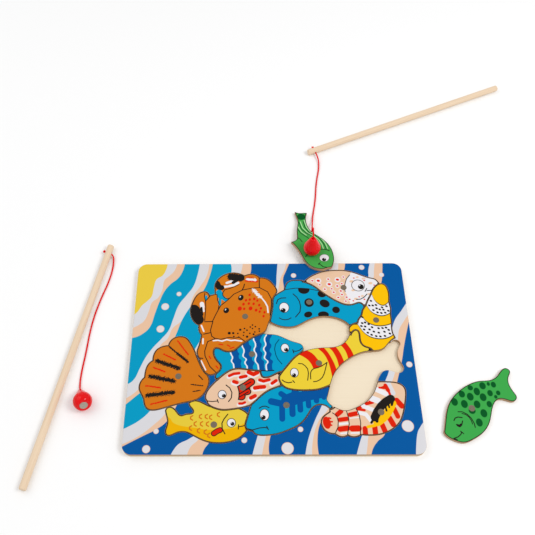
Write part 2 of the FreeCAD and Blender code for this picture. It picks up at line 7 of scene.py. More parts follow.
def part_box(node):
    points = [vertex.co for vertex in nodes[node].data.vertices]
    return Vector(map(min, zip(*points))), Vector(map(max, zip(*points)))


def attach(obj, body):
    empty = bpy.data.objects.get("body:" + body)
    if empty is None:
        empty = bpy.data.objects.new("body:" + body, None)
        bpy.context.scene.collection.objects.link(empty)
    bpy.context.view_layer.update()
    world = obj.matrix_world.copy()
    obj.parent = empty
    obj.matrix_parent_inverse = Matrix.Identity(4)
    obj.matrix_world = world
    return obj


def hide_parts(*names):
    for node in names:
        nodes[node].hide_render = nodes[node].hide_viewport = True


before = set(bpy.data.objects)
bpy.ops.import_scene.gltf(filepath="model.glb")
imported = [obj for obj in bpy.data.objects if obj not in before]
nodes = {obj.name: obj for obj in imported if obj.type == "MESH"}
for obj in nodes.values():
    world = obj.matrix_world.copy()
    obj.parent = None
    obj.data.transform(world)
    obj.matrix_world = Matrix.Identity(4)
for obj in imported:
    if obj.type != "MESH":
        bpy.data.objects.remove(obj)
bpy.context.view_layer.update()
MM = 0.001

# %% [markdown]
# The camera stands where the photograph's camera stood. Its place and angles were solved from
# the board's four corners. The lens axis meets the picture a little left of its middle, which
# is a small sideways shift of the sensor.
# %% Camera
picture_side_px = 535
focal_length_px = 672.55
lens_axis_x_px = 240.0
camera_place = Vector((-24.16, -299.85, 662.19)) * MM
pitch_down, yaw_left, roll = np.radians([58.28, 1.365, -1.413])

camera = bpy.data.objects.new("camera", bpy.data.cameras.new("camera"))
bpy.context.scene.collection.objects.link(camera)
camera.data.sensor_width = 36.0
camera.data.lens = 36.0 * focal_length_px / picture_side_px
camera.data.shift_x = (picture_side_px / 2 - lens_axis_x_px) / picture_side_px
camera.data.clip_start = 0.01
camera.matrix_world = (
    Matrix.Translation(camera_place)
    @ Matrix.Rotation(yaw_left, 4, "Z")
    @ Matrix.Rotation(np.pi / 2 - pitch_down, 4, "X")
    @ Matrix.Rotation(roll, 4, "Z")
)
bpy.context.scene.camera = camera
print("lens", round(camera.data.lens, 2), "mm")

# %% [markdown]
# A catalogue picture of a toy has a large soft lamp and a weak one that fills its shadows. The
# key lamp stands to the right, so the walls of the recesses shade their right ends.
# %% Lamps
bpy.context.scene.view_settings.view_transform = "Standard"


def lamp(name, place, target, size, watts):
    """A square soft lamp that faces its target."""
    light = bpy.data.lights.new(name, "AREA")
    light.size = size
    light.energy = watts
    thing = bpy.data.objects.new(name, light)
    bpy.context.scene.collection.objects.link(thing)
    aim = (Vector(target) - Vector(place)).to_track_quat("-Z", "Y")
    thing.matrix_world = Matrix.Translation(place) @ aim.to_matrix().to_4x4()
    return thing


key_lamp = lamp("key_lamp", (1.1, -0.2, 1.5), (0, 0, 0), size=0.7, watts=13)
fill_lamp = lamp("fill_lamp", (-1.2, 0.5, 1.4), (0, 0, 0), size=1.4, watts=7)
print("lamps of", key_lamp.data.energy, "and", fill_lamp.data.energy, "watts")

# %% [markdown]
# The photograph has a white ground with faint soft shadows. A bright room and one big white
# sheet under the game give that, and nothing of them is part of the game.
# %% Room and table
room_brightness = 0.7
world = bpy.data.worlds.new("bright_room")
world.use_nodes = True
world.node_tree.nodes["Background"].inputs["Color"].default_value = (1, 1, 1, 1)
world.node_tree.nodes["Background"].inputs["Strength"].default_value = room_brightness
bpy.context.scene.world = world

table_mesh = bpy.data.meshes.new("table")
table_reach = 6.0
table_mesh.from_pydata(
    [(x * table_reach, y * table_reach, 0) for x, y in ((-1, -1), (1, -1), (1, 1), (-1, 1))],
    [],
    [(0, 1, 2, 3)],
)
table = bpy.data.objects.new("table", table_mesh)
bpy.context.scene.collection.objects.link(table)
table_paint = bpy.data.materials.new("table_paint")
table_paint.use_nodes = True
table_shader = table_paint.node_tree.nodes["Principled BSDF"]
table_shader.inputs["Base Color"].default_value = (0.93, 0.93, 0.93, 1)
table_shader.inputs["Roughness"].default_value = 0.8
table_shader.inputs["Specular IOR Level"].default_value = 0.1
table_mesh.materials.append(table_paint)
print("table reaches", table_reach, "m each way")

# %% [markdown]
# The picture could be an image on the faces, but drawn shapes stay sharp at any size. Their
# shader nodes are written as Python expressions: a Field stands for the output of a node, and
# arithmetic on it adds Math nodes. Most fields are distances in millimetres that are negative
# inside a shape, so | joins two shapes, & keeps what is in both and a minus sign turns one
# inside out.
# %% Shader expressions


class Field:
    """The output of a shader node, ready for arithmetic."""

    def __init__(self, finish, socket):
        self.finish = finish
        self.socket = socket

    def maths(self, operation, *values):
        """One Math node; its inputs are the values in order."""
        return self.finish.node("ShaderNodeMath", {"operation": operation}, values)

    def __add__(self, other):
        return self.maths("ADD", self, other)

    def __radd__(self, other):
        return self.maths("ADD", other, self)

    def __sub__(self, other):
        return self.maths("SUBTRACT", self, other)

    def __rsub__(self, other):
        return self.maths("SUBTRACT", other, self)

    def __mul__(self, other):
        return self.maths("MULTIPLY", self, other)

    def __rmul__(self, other):
        return self.maths("MULTIPLY", other, self)

    def __truediv__(self, other):
        return self.maths("DIVIDE", self, other)

    def __rtruediv__(self, other):
        return self.maths("DIVIDE", other, self)

    def __neg__(self):
        return self.maths("MULTIPLY", self, -1.0)

    def __abs__(self):
        return self.maths("ABSOLUTE", self)

    def __or__(self, other):
        return self.maths("MINIMUM", self, other)

    __ror__ = __or__

    def __and__(self, other):
        return self.maths("MAXIMUM", self, other)

    __rand__ = __and__


# %% [markdown]
# Colours are written as they look in the photograph, from 0 to 255. Shaders want linear light,
# and the lamps brighten what they fall on, so both are taken out here, once for all inks.
# %% Paint
light_on_board = 1.12       # how bright the lamps make a tone of 1


def paint(red, green, blue):
    """The screen's colour turned into linear light, which is its tone to the power of 2.4 with
    a straight foot, and divided by the light that falls on the board."""
    tone = np.array([red, green, blue]) / 255
    linear = np.where(tone <= 0.04045, tone / 12.92, ((tone + 0.055) / 1.055) ** 2.4)
    return (*[float(value) / light_on_board for value in linear], 1.0)


print("white paper is", np.round(paint(255, 255, 255), 3).tolist())

# %% [markdown]
# A Finish is one material. Its node method adds any node, with its settings made first, because
# a setting can change which sockets a node has. What varies over a surface ends in Base Color.
# %% A finish


class Finish:
    """One material, written as expressions."""

    def __init__(self, name):
        self.material = bpy.data.materials.new(name)
        self.material.use_nodes = True
        self.tree = self.material.node_tree
        self.tree.nodes.clear()

    def node(self, kind, settings, values=(), out=0):
        """Adds a node; values are numbers or Fields, in order or by the socket's name."""
        made = self.tree.nodes.new(kind)
        for setting, value in settings.items():
            setattr(made, setting, value)
        named = values.items() if isinstance(values, dict) else enumerate(values)
        for key, value in named:
            if isinstance(value, Field):
                self.tree.links.new(value.socket, made.inputs[key])
            else:
                made.inputs[key].default_value = value
        return Field(self, made.outputs[out] if made.outputs else None)

    def vector(self, operation, *values, out=0):
        """One Vector Math node; out=1 reads its number."""
        return self.node("ShaderNodeVectorMath", {"operation": operation}, values, out)

    def mix(self, share, under, over):
        """The colour over laid on the colour under, by share."""
        settings = {"data_type": "RGBA", "clamp_factor": True}
        return self.node("ShaderNodeMix", settings, {0: share, 6: under, 7: over}, 2)

    def place(self):
        """Object coordinates in millimetres."""
        metres = self.node("ShaderNodeTexCoord", {}, out=3)
        return self.vector("MULTIPLY", metres, (1000.0, 1000.0, 1000.0))

    def noise(self, where, scale, detail=2.0):
        """Smooth noise about 0.5."""
        sockets = {"Vector": where, "Scale": scale, "Detail": detail}
        return self.node("ShaderNodeTexNoise", {}, sockets)

    def shade(self, colour, roughness, **sockets):
        """Ends the material in a Principled shader; other sockets are given by their names."""
        values = {"Base Color": colour, "Roughness": roughness}
        values.update({name.replace("_", " "): value for name, value in sockets.items()})
        shader = self.node("ShaderNodeBsdfPrincipled", {}, values)
        self.node("ShaderNodeOutputMaterial", {}, [shader])
        return self.material


# %% [markdown]
# The picture is drawn in one flat frame in millimetres, with its origin at the board's middle.
# Each sawn piece carries the attribute print_mm: where in that frame each point of its face
# was printed, and as the third number how far in from the sawn edge it lies. On the edge
# itself that number is negative and counts down the wall. A Picture knows its shapes as
# distances from that place, which is why a pen line or a spot needs no pixels.
# %% Shapes of the picture


class Picture(Finish):
    """A material that reads the print's frame and gives distances from shapes in it."""

    def __init__(self, name):
        super().__init__(name)
        printed = self.node("ShaderNodeAttribute", {"attribute_name": "print_mm"}, out=1)
        apart = self.node("ShaderNodeSeparateXYZ", {}, [printed])
        self.x, self.y, self.inset = (Field(self, socket) for socket in apart.socket.node.outputs)
        self.at = self.vector("MULTIPLY", printed, (1.0, 1.0, 0.0))

    def disc(self, x, y, radius):
        """Distance from a round spot: from its middle, less its radius."""
        return self.vector("DISTANCE", self.at, (x, y, 0.0), out=1) - radius

    def oval(self, x, y, half_width, half_height, turn=0.0):
        """Roughly the distance from an oval turned by some degrees. In coordinates along its
        two axes, each divided by its half length, it is a circle of radius 1."""
        cosine, sine = float(np.cos(np.radians(turn))), float(np.sin(np.radians(turn)))
        off = self.vector("SUBTRACT", self.at, (x, y, 0.0))
        long_axis = (cosine / half_width, sine / half_width, 0.0)
        short_axis = (-sine / half_height, cosine / half_height, 0.0)
        u = self.vector("DOT_PRODUCT", off, long_axis, out=1)
        v = self.vector("DOT_PRODUCT", off, short_axis, out=1)
        squared = u * u + v * v
        length = squared.maths("SQRT", squared)
        mean = (half_width * half_height) ** 0.5
        return length * mean - mean

    def run(self, start, end):
        """Distance from the straight line between two points: to the foot of the
        perpendicular, held between the line's two ends."""
        along = np.subtract(end, start)
        axis = along / (along @ along)
        off = self.vector("SUBTRACT", self.at, (*map(float, start), 0.0))
        share = self.vector("DOT_PRODUCT", off, (*map(float, axis), 0.0), out=1)
        held = (share | 1.0) & 0.0
        scaled = {"Vector": (*map(float, along), 0.0), "Scale": held}
        foot = self.node("ShaderNodeVectorMath", {"operation": "SCALE"}, scaled)
        return self.vector("DISTANCE", off, foot, out=1)

    def stroke(self, points, width):
        """Distance from a pen line through the points: the least of the distances from its
        straight parts, less half its width."""
        nearest = self.run(points[0], points[1])
        for start, end in zip(points[1:], points[2:]):
            nearest = nearest | self.run(start, end)
        return nearest - width / 2

    def drawn(self, along, points):
        """A smooth line through (along, height) points, as a height for each place along.
        The curve node works from 0 to 1, so both are scaled to the points' own range."""
        ordered = np.array(sorted(points), float)
        low, high = ordered.min(axis=0), ordered.max(axis=0)
        share = (along - float(low[0])) / float(high[0] - low[0])
        found = self.node("ShaderNodeFloatCurve", {}, {1: share})
        mapping = found.socket.node.mapping
        mapping.extend = "HORIZONTAL"
        curve = mapping.curves[0]
        for index, (place, height) in enumerate((ordered - low) / (high - low)):
            if index < 2:
                curve.points[index].location = (place, height)
            else:
                curve.points.new(place, height)
        mapping.update()
        return found * float(high[1] - low[1]) + float(low[1])

    def right_of(self, points):
        """How far a place lies to the right of a line that runs from back to front: its x
        less the x that the line has at the same y."""
        return self.x - self.drawn(self.y, [(y, x) for x, y in points])

    def above(self, points):
        """How far a place lies behind a line that runs from left to right: its y less the y
        that the line has at the same x."""
        return self.y - self.drawn(self.x, points)


# %% [markdown]
# A toy like this is printed ink on ink and then varnished. A Print does the same: it starts as
# one ground colour, and each shape covers what was laid before, with a soft rim of a fraction
# of a millimetre as the real ink has. The varnish is thin and dull, so it reflects little.
# %% Inks laid over each other
ink_black = paint(32, 27, 25)
ink_white = paint(238, 236, 240)
sawn_brown = paint(206, 174, 138)
sawn_dark = paint(164, 128, 94)


class Print(Picture):
    """Printed and varnished plywood; shapes are laid over the ground colour one by one."""

    def __init__(self, name, ground):
        super().__init__(name)
        self.colour = ground

    def lay(self, shape, colour, soft=0.16):
        """Prints a colour inside a shape: it covers by half less distance / soft, held from
        0 to 1, so the rim is as wide as `soft`."""
        cover = shape.maths("MULTIPLY_ADD", shape, -1.0 / soft, 0.5)
        self.colour = self.mix(cover, self.colour, colour)

    def pen(self, points, width, colour=None, soft=0.2):
        """A pen line, black unless told otherwise."""
        self.lay(self.stroke(points, width), colour or ink_black, soft)

    def hatch(self, start, end, width, colour, ragged=1.6):
        """A ragged stroke, as hatching leaves it: noise moves its two sides, by up to half of
        `ragged` times its width."""
        sway = (self.noise(self.at, scale=0.8) - 0.5) * (width * ragged)
        self.lay(self.stroke([start, end], width) + sway, colour, 0.4)

    def eye(self, centre, size, pupil, across, turn=0.0, ring=0.7):
        """An eye: a black ring, a white oval, its pupil and a glint."""
        width, height = size[0] / 2, size[1] / 2
        self.lay(self.oval(*centre, width + ring, height + ring, turn), ink_black)
        self.lay(self.oval(*centre, width, height, turn), ink_white)
        self.lay(self.disc(*pupil, across / 2), ink_black)
        self.lay(self.disc(pupil[0] - across / 5, pupil[1] + across / 4, across / 9), ink_white)

    def outline(self, width):
        """The black line round a creature: all that is less than its width from the edge."""
        self.lay(self.inset - width, ink_black)

    def varnished(self):
        """Ends the print: the bare sawn wall below the face, then the varnish."""
        layers = self.inset.maths("PINGPONG", self.inset, 1.0)
        wall = self.mix(layers, sawn_brown, sawn_dark)
        self.lay(self.inset, wall, soft=0.1)
        return self.shade(self.colour, roughness=0.4, Specular_IOR_Level=0.05)

    def tell(self):
        """Prints how far the picture is."""
        print(self.material.name, "has", len(self.tree.nodes), "nodes so far")


# %% [markdown]
# A sawn piece is a flat sheet with a sanded edge. Its outline could be drawn again, but then it
# might not fit its recess, so it is read from its solid. A solid comes as loose triangles, and
# its corners are merged here, in a copy, to find out which triangles touch.
# %% Read a solid


def corners_and_triangles(name):
    """A solid's corners, each of them once, its triangles, and the triangles' normals, each
    twice as long as its triangle is large."""
    mesh = nodes[name].data
    mesh.calc_loop_triangles()
    corners = np.empty(len(mesh.vertices) * 3)
    mesh.vertices.foreach_get("co", corners)
    triangles = np.empty(len(mesh.loop_triangles) * 3, int)
    mesh.loop_triangles.foreach_get("vertices", triangles)
    merged, same = np.unique(np.round(corners.reshape(-1, 3), 6), axis=0, return_inverse=True)
    triangles = same.ravel()[triangles].reshape(-1, 3)
    a, b, c = merged[triangles].transpose(1, 0, 2)
    return merged, triangles, np.cross(b - a, c - a)


def tipped(name):
    """How far a solid is tipped about X: the angle between the z axis and the normal of its
    largest triangle that faces up."""
    facing = corners_and_triangles(name)[2]
    up = facing[facing[:, 2].argmax()]
    return -np.arctan2(up[1], up[2])


print("the green striped fish is tipped by",
      round(float(np.degrees(tipped("green_striped_fish"))), 1), "degrees")

# %% [markdown]
# The face that looks up is flat, so its triangles are those that face up and have all corners
# at the highest level. What bounds them is the outline that the saw has cut.
# %% Read the rim of a solid's face
level_within = 3e-5         # metres: how far a corner of one flat face may be out of it


def rims(name, up=(0, 0, 1)):
    """The rims of a solid's highest flat face, each as points in order with the wood to the
    left. A rim edge is one that only one triangle of the face has."""
    merged, triangles, facing = corners_and_triangles(name)
    area = np.linalg.norm(facing, axis=1)
    level = merged @ np.array(up)
    flat = (facing @ np.array(up) > 0.99 * area) & (area > 0)
    flat &= level[triangles].min(axis=1) > level.max() - level_within
    face = triangles[flat]
    start, end = face.ravel(), np.roll(face, -1, axis=1).ravel()
    count = len(merged)
    on_rim = ~np.isin(start * count + end, end * count + start)
    following = dict(zip(start[on_rim].tolist(), end[on_rim].tolist()))
    found = []
    while following:
        loop = [next(iter(following))]
        while loop[-1] in following:
            loop.append(following.pop(loop[-1]))
        found.append(merged[loop[:-1]])
    return found


def perimeter(loop):
    """Length of a closed loop: the sum of the lengths of its edges."""
    return np.linalg.norm(np.roll(loop, -1, axis=0) - loop, axis=1).sum()


print("rims of the crab's face:", [round(perimeter(loop) / MM, 1) for loop in rims("crab")], "mm")

# %% [markdown]
# A solid's rim has long edges where it is straight and very short ones where two curves meet.
# A sanded edge needs even steps, or it shows facets, but a corner must keep its point. Then a
# step inwards of the whole outline is one ring of the edge.
# %% Even spacing along an outline
rim_step = 0.9
shortest_edge = 0.02        # what is shorter is left over from cutting one solid with another


def evenly(loop, step, corner=24.0):
    """The outline again with even steps between its corners, which keep their places. A
    corner is where it turns by more than `corner` degrees, and a place between two corners is
    found by its share of the length between them."""
    gap = np.linalg.norm(np.roll(loop, -1, axis=0) - loop, axis=1)
    loop = loop[gap > shortest_edge]
    ahead = np.roll(loop, -1, axis=0) - loop
    behind = np.roll(ahead, 1, axis=0)
    turn = np.arctan2(behind[:, 0] * ahead[:, 1] - behind[:, 1] * ahead[:, 0],
                      (behind * ahead).sum(axis=1))
    sharp = np.flatnonzero(np.abs(turn) > np.radians(corner))
    if len(sharp):
        loop = np.roll(loop, -sharp[0], axis=0)
        sharp = sharp - sharp[0]
    else:
        sharp = np.array([0])
    closed = np.vstack([loop, loop[:1]])
    along = np.r_[0, np.cumsum(np.linalg.norm(np.diff(closed, axis=0), axis=1))]
    marks = along[np.r_[sharp, len(loop)]]
    counts = np.maximum(np.round(np.diff(marks) / step), 1).astype(int)
    places = np.concatenate([np.linspace(low, high, number, endpoint=False)
                             for low, high, number in zip(marks, marks[1:], counts)])
    return np.stack([np.interp(places, along, closed[:, axis]) for axis in (0, 1)], axis=1)


def stepped_in(loop, distance, least=0.8):
    """The outline moved to its left: each point moves along the sum s of the normals of its two
    edges, by 2 distance / s^2, which keeps both edges at the distance. Very sharp corners would
    run away, so s^2 isn't less than `least`."""
    edge = np.roll(loop, -1, axis=0) - loop
    normal = np.stack([-edge[:, 1], edge[:, 0]], axis=1)
    normal /= np.linalg.norm(normal, axis=1, keepdims=True)
    both = normal + np.roll(normal, 1, axis=0)
    squared = np.maximum((both ** 2).sum(axis=1, keepdims=True), least)
    return loop + both * (2 * distance / squared)


crab_rim = evenly(max(rims("crab"), key=perimeter)[:, :2] / MM, rim_step)
print("the crab's outline has", len(crab_rim), "even steps")

# %% [markdown]
# The flat face is filled with triangles between the rim and a loose lattice of inner points.
# One big polygon would do for the shape. The lattice is there for the print: every point of it
# stores its distance from the sawn edge, where the black outline lies.
# %% Distances and insides
points_at_once = 400        # keeps the tables of points by edges small


def nearest_edge(points, starts, ends):
    """Distance from each point to the nearest of many straight edges: the foot of the
    perpendicular, held between the edge's two ends."""
    along = ends - starts
    squared = (along ** 2).sum(axis=1)
    found = []
    for part in np.array_split(points, len(points) // points_at_once + 1):
        off = part[:, None] - starts
        share = np.clip((off * along).sum(axis=2) / squared, 0, 1)
        found.append(np.linalg.norm(off - share[..., None] * along, axis=2).min(axis=1))
    return np.concatenate(found)


def is_inside(points, starts, ends):
    """True where a level line to the right of the point crosses the edges an odd number of
    times."""
    found = []
    slope = (ends[:, 0] - starts[:, 0]) / np.where(ends[:, 1] == starts[:, 1], 1,
                                                   ends[:, 1] - starts[:, 1])
    for part in np.array_split(points, len(points) // points_at_once + 1):
        x, y = part[:, :1], part[:, 1:]
        passes = (starts[:, 1] > y) != (ends[:, 1] > y)
        crossing = starts[:, 0] + (y - starts[:, 1]) * slope
        found.append((passes & (x < crossing)).sum(axis=1) % 2 == 1)
    return np.concatenate(found)


crab_pin = np.array([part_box("pin_crab")]).mean(axis=1)[:, :2] / MM
crab_ends = np.roll(crab_rim, -1, axis=0)
print("the crab's pin is inside it:", bool(is_inside(crab_pin, crab_rim, crab_ends)[0]), "and",
      round(float(nearest_edge(crab_pin, crab_rim, crab_ends)[0]), 1), "mm from the edge")

# %% [markdown]
# Every piece ends as arrays of points and faces. Smooth shading with sharp edges by angle keeps
# the face of a piece flat and its round edge round, and needs no extra points.
# %% From arrays to an object


def walls_between(ids):
    """Four-sided faces between each closed ring of points and the next."""
    after = np.roll(ids, -1, axis=1)
    return np.stack([ids[:-1], after[:-1], after[1:], ids[1:]], axis=-1).reshape(-1, 4).tolist()


def placed(points, matrix):
    """Points in millimetres put in their place in the room, in metres: turned, then moved."""
    matrix = np.array(matrix)
    return points * MM @ matrix[:3, :3].T + matrix[:3, 3]


def mesh_object(name, points, faces, smooth_angle=40.0):
    """A mesh object from arrays, smooth but for its sharp edges."""
    mesh = bpy.data.meshes.new(name)
    mesh.from_pydata(points.tolist(), [], faces)
    mesh.polygons.foreach_set("use_smooth", np.ones(len(mesh.polygons), bool))
    mesh.set_sharp_from_angle(angle=np.radians(smooth_angle))
    mesh.update()
    thing = bpy.data.objects.new(name, mesh)
    bpy.context.scene.collection.objects.link(thing)
    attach(thing, "root")
    return thing


print(len(walls_between(np.arange(8).reshape(2, 4))), "walls join two rings of 4 points")

# %% [markdown]
# A Bevel modifier could round the sawn edge, but its new points wouldn't know where they were
# printed. So the edge is a profile carried along the outline: up a straight wall, then round a
# quarter circle, each step of it a ring that lies a little further in.
# %% The sanded edge
sheet_thickness = 4.0
sanded_edge = 0.3           # radius of the quarter circle


def sanded_walls(loops, thickness, sanded):
    """Rings of the edge: at the angle w the quarter circle of radius r = `sanded` is
    r (1 - cos w) inwards and r (1 - sin w) below the face. Gives the points, where each was
    printed, and the rings' point numbers for each outline."""
    bend = np.radians([0, 30, 60, 90])
    inwards = np.r_[0, sanded * (1 - np.cos(bend))]
    upwards = np.r_[-thickness, sanded * np.sin(bend) - sanded]
    points, printed, ids, total = [], [], [], 0
    for loop in loops:
        rings = np.concatenate([stepped_in(loop, inset) for inset in inwards])
        height = np.repeat(upwards, len(loop))[:, None]
        edge = np.repeat(inwards + upwards, len(loop))[:, None]
        points.append(np.hstack([rings, height]))
        printed.append(np.hstack([rings, edge]))
        ids.append(total + np.arange(len(rings)).reshape(-1, len(loop)))
        total += len(rings)
    return np.vstack(points), np.vstack(printed), ids


crab_edge = sanded_walls([crab_rim], sheet_thickness, sanded_edge)[0]
print("the crab's edge has", len(crab_edge), "points")

# %% [markdown]
# A lattice whose rows are shifted by half a step gives nearly even triangles. Its points store
# how far they are from the edge, so a finer lattice makes a truer outline of the print.
# %% Inner points of a face
lattice_step = 1.7


def inner_lattice(starts, ends, spacing, clear_share=0.45):
    """Points inside an outline in rows half a step apart, and how far each is from the edge.
    A point nearer to the edge than a share of the spacing would make slivers and is left
    out."""
    low, high = starts.min(axis=0), starts.max(axis=0)
    row = spacing * 3 ** 0.5 / 2
    across, up = np.meshgrid(np.arange(low[0], high[0], spacing), np.arange(low[1], high[1], row))
    across = across + np.where(np.arange(len(up)) % 2, spacing / 2, 0)[:, None]
    inner = np.stack([across.ravel(), up.ravel()], axis=1)
    clear = nearest_edge(inner, starts, ends)
    keep = is_inside(inner, starts, ends) & (clear > clear_share * spacing)
    return inner[keep], clear[keep]


crab_lattice = inner_lattice(crab_rim, crab_ends, lattice_step)[0]
print("the crab's face has", len(crab_lattice), "inner points")

# %% [markdown]
# Constrained Delaunay triangulation joins the inner points to the rim and keeps every edge of
# the rim. It fills bays and holes too, so triangles whose middle lies outside are dropped.
# %% Fill the face


def filled(rim, inner):
    """Triangles between the rim's loops and the inner points. One whose corners run clockwise,
    by the cross product of two of its sides, is turned over, so that all face up."""
    starts = np.vstack(rim)
    ends = np.vstack([np.roll(loop, -1, axis=0) for loop in rim])
    flat = np.vstack([starts, inner])
    numbers = np.split(np.arange(len(starts)), np.cumsum([len(loop) for loop in rim])[:-1])
    edges = np.vstack([np.stack([ids, np.roll(ids, -1)], axis=1) for ids in numbers])
    spots, _, cells, origin, _, _ = delaunay_2d_cdt(flat.tolist(), edges.tolist(), [], 0, 1e-5)
    # Where the sanded rim crosses itself in a tight corner, the crossing is a new point. It
    # takes the place of the given point that is nearest to it.
    source = np.array([ids[0] if ids else int(np.argmin(((flat - spot) ** 2).sum(axis=1)))
                       for spot, ids in zip(spots, origin)])
    cells = source[np.array(cells)]
    a, b, c = cells.T
    cells = cells[(a != b) & (b != c) & (c != a)]
    a, b, c = flat[cells].transpose(1, 0, 2)
    down = (b[:, 0] - a[:, 0]) * (c[:, 1] - a[:, 1]) < (b[:, 1] - a[:, 1]) * (c[:, 0] - a[:, 0])
    cells[down] = cells[down][:, ::-1]
    return cells[is_inside((a + b + c) / 3, starts, ends)]


print("the crab's face has", len(filled([crab_rim], crab_lattice)), "triangles")

# %% [markdown]
# Walls, face and underside share their points where they meet, so that a sawn piece is one
# closed skin. The underside has the same triangles as the face, turned over.
# %% A sawn piece


def sawn_piece(name, loops, thickness, place, sanded=sanded_edge, lattice=lattice_step):
    """A sheet with a sanded top edge: its walls, its face and its underside. Loops are in
    millimetres on the face, and `place` puts them in the room."""
    loops = [evenly(loop, rim_step) for loop in loops]
    points, printed, ids = sanded_walls(loops, thickness, sanded)
    rim = [stepped_in(loop, sanded) for loop in loops]
    ends = np.vstack([np.roll(loop, -1, axis=0) for loop in rim])
    inner, clear = inner_lattice(np.vstack(rim), ends, lattice)
    inner_ids = len(points) + np.arange(len(inner))
    top = np.concatenate([*(rings[-1] for rings in ids), inner_ids])
    bottom = np.concatenate([*(rings[0] for rings in ids), inner_ids + len(inner)])
    cells = filled(rim, inner)
    faces = [wall for rings in ids for wall in walls_between(rings)]
    faces += top[cells].tolist() + bottom[cells[:, ::-1]].tolist()
    face = np.pad(inner, ((0, 0), (0, 1)))
    underside = face - (0, 0, thickness)
    thing = mesh_object(name, placed(np.vstack([points, face, underside]), place), faces)
    face[:, 2] = clear + sanded
    stored = thing.data.attributes.new("print_mm", "FLOAT_VECTOR", "POINT")
    stored.data.foreach_set("vector", np.vstack([printed, face, underside]).astype("f").ravel())
    return thing


# %% [markdown]
# Most creatures lie flat in the board, so their picture frame is the board's. The green
# striped fish was read in its recess and lies turned and leaning behind the board: its frame
# goes from the recess to where it lies, about its pin.
# %% Where each creature's picture frame lies
board_high = np.array(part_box("play_board")[1]) / MM
face_height = board_high[2]
pin_length = 3.0
pin_proud = 0.15            # how far a pin stands out of the face
pin_in_recess = (56.0, 18.0)
turned_to_floor = -71.3     # degrees from the recess to where the fish lies
longest_hole_rim = 25.0     # a shorter rim is that of the pin's hole


def middle(name):
    """Middle of a solid's box."""
    low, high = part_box(name)
    return (low + high) / 2


def face_frame(name):
    """The matrix from a creature's picture frame, in metres, to the room. For the fish on the
    magnet it moves the pin's place to the origin, turns about Z, tips about X and moves it to
    where the pin is."""
    if name == "green_spotted_fish":
        return Matrix.Translation((0, 0, sheet_thickness * MM))
    if name != "green_striped_fish":
        return Matrix.Translation((0, 0, face_height * MM))
    pin = middle("pin_" + name)
    to_face = Vector((0, 0, (pin_length / 2 - pin_proud) * MM))
    tip = Matrix.Rotation(tipped(name), 4, "X")
    return (Matrix.Translation(pin + tip.to_3x3() @ to_face) @ tip
            @ Matrix.Rotation(np.radians(turned_to_floor), 4, "Z")
            @ Matrix.Translation((-pin_in_recess[0] * MM, -pin_in_recess[1] * MM, 0)))


def outline_of(name):
    """The creature's outline in its picture frame, in millimetres."""
    matrix = face_frame(name)
    up = matrix.to_3x3() @ Vector((0, 0, 1))
    loops = [loop for loop in rims(name, up) if perimeter(loop) > longest_hole_rim * MM]
    back = np.array(matrix.inverted())
    return [(loop @ back[:3, :3].T + back[:3, 3])[:, :2] / MM for loop in loops]


print("the printed face is", round(float(face_height), 2), "mm above the table")

# %% [markdown]
# All thirteen creatures are sawn in one go. Each takes the place of its solid, and its finish
# comes later, with its print.
# %% Saw the creatures
creatures = sorted(name[4:] for name in nodes if name.startswith("pin_"))
sawn = {}
for name in creatures:
    sawn[name] = sawn_piece("sawn_" + name, outline_of(name), sheet_thickness, face_frame(name))
    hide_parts(name)
    print(name, len(sawn[name].data.vertices), "points")

# %% [markdown]
# The board's outer edge is a rectangle with round corners, so it is a formula here. The upper
# sheet's inner rims are read from its solid, as the creatures' outlines are.
# %% Outline of the board
corner_radius = 10.0


def rounded_rectangle(radius, points_each=24):
    """Anticlockwise outline: quarter circles about the four corner centres."""
    sweep = np.radians(np.linspace(0, 90, points_each))
    half = board_high[:2] - radius
    quarters = [(1, 1, 0), (-1, 1, 90), (-1, -1, 180), (1, -1, 270)]
    return np.vstack([np.stack([sx * half[0] + radius * np.cos(sweep + np.radians(start)),
                                sy * half[1] + radius * np.sin(sweep + np.radians(start))],
                               axis=1) for sx, sy, start in quarters])


def signed_area(loop):
    """Half the sum of x1 y2 - x2 y1 over the edges: positive when the loop runs
    anticlockwise."""
    after = np.roll(loop, -1, axis=0)
    return (loop[:, 0] * after[:, 1] - loop[:, 1] * after[:, 0]).sum() / 2


board_outline = rounded_rectangle(corner_radius)
print("the board is", round(perimeter(board_outline), 1), "mm round")

# %% [markdown]
# The upper sheet is one piece with openings, so its rims that run clockwise are cut out of it.
# The scraps that creatures close in are sawn like creatures. The lower sheet is whole and has
# a sharp edge, because only the play face is sanded.
# %% Saw the board
recess_rims = [loop[:, :2] / MM for loop in rims("play_board") if signed_area(loop[:, :2]) < 0]
board_face = Matrix.Translation((0, 0, face_height * MM))
play_board = sawn_piece("printed_board", [board_outline, *recess_rims], sheet_thickness,
                        board_face, lattice=3.0)
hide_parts("play_board")
scraps = []
for name in sorted(name for name in nodes if name.startswith("filler_")):
    scrap = sawn_piece("sawn_" + name, outline_of(name), sheet_thickness, board_face)
    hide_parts(name)
    scraps.append(scrap)
base_thickness = face_height - sheet_thickness
base_board = sawn_piece("lower_sheet", [board_outline], base_thickness,
                        Matrix.Translation((0, 0, base_thickness * MM)), sanded=0.05, lattice=8.0)
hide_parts("base_board")
print("board", len(play_board.data.vertices), "points")

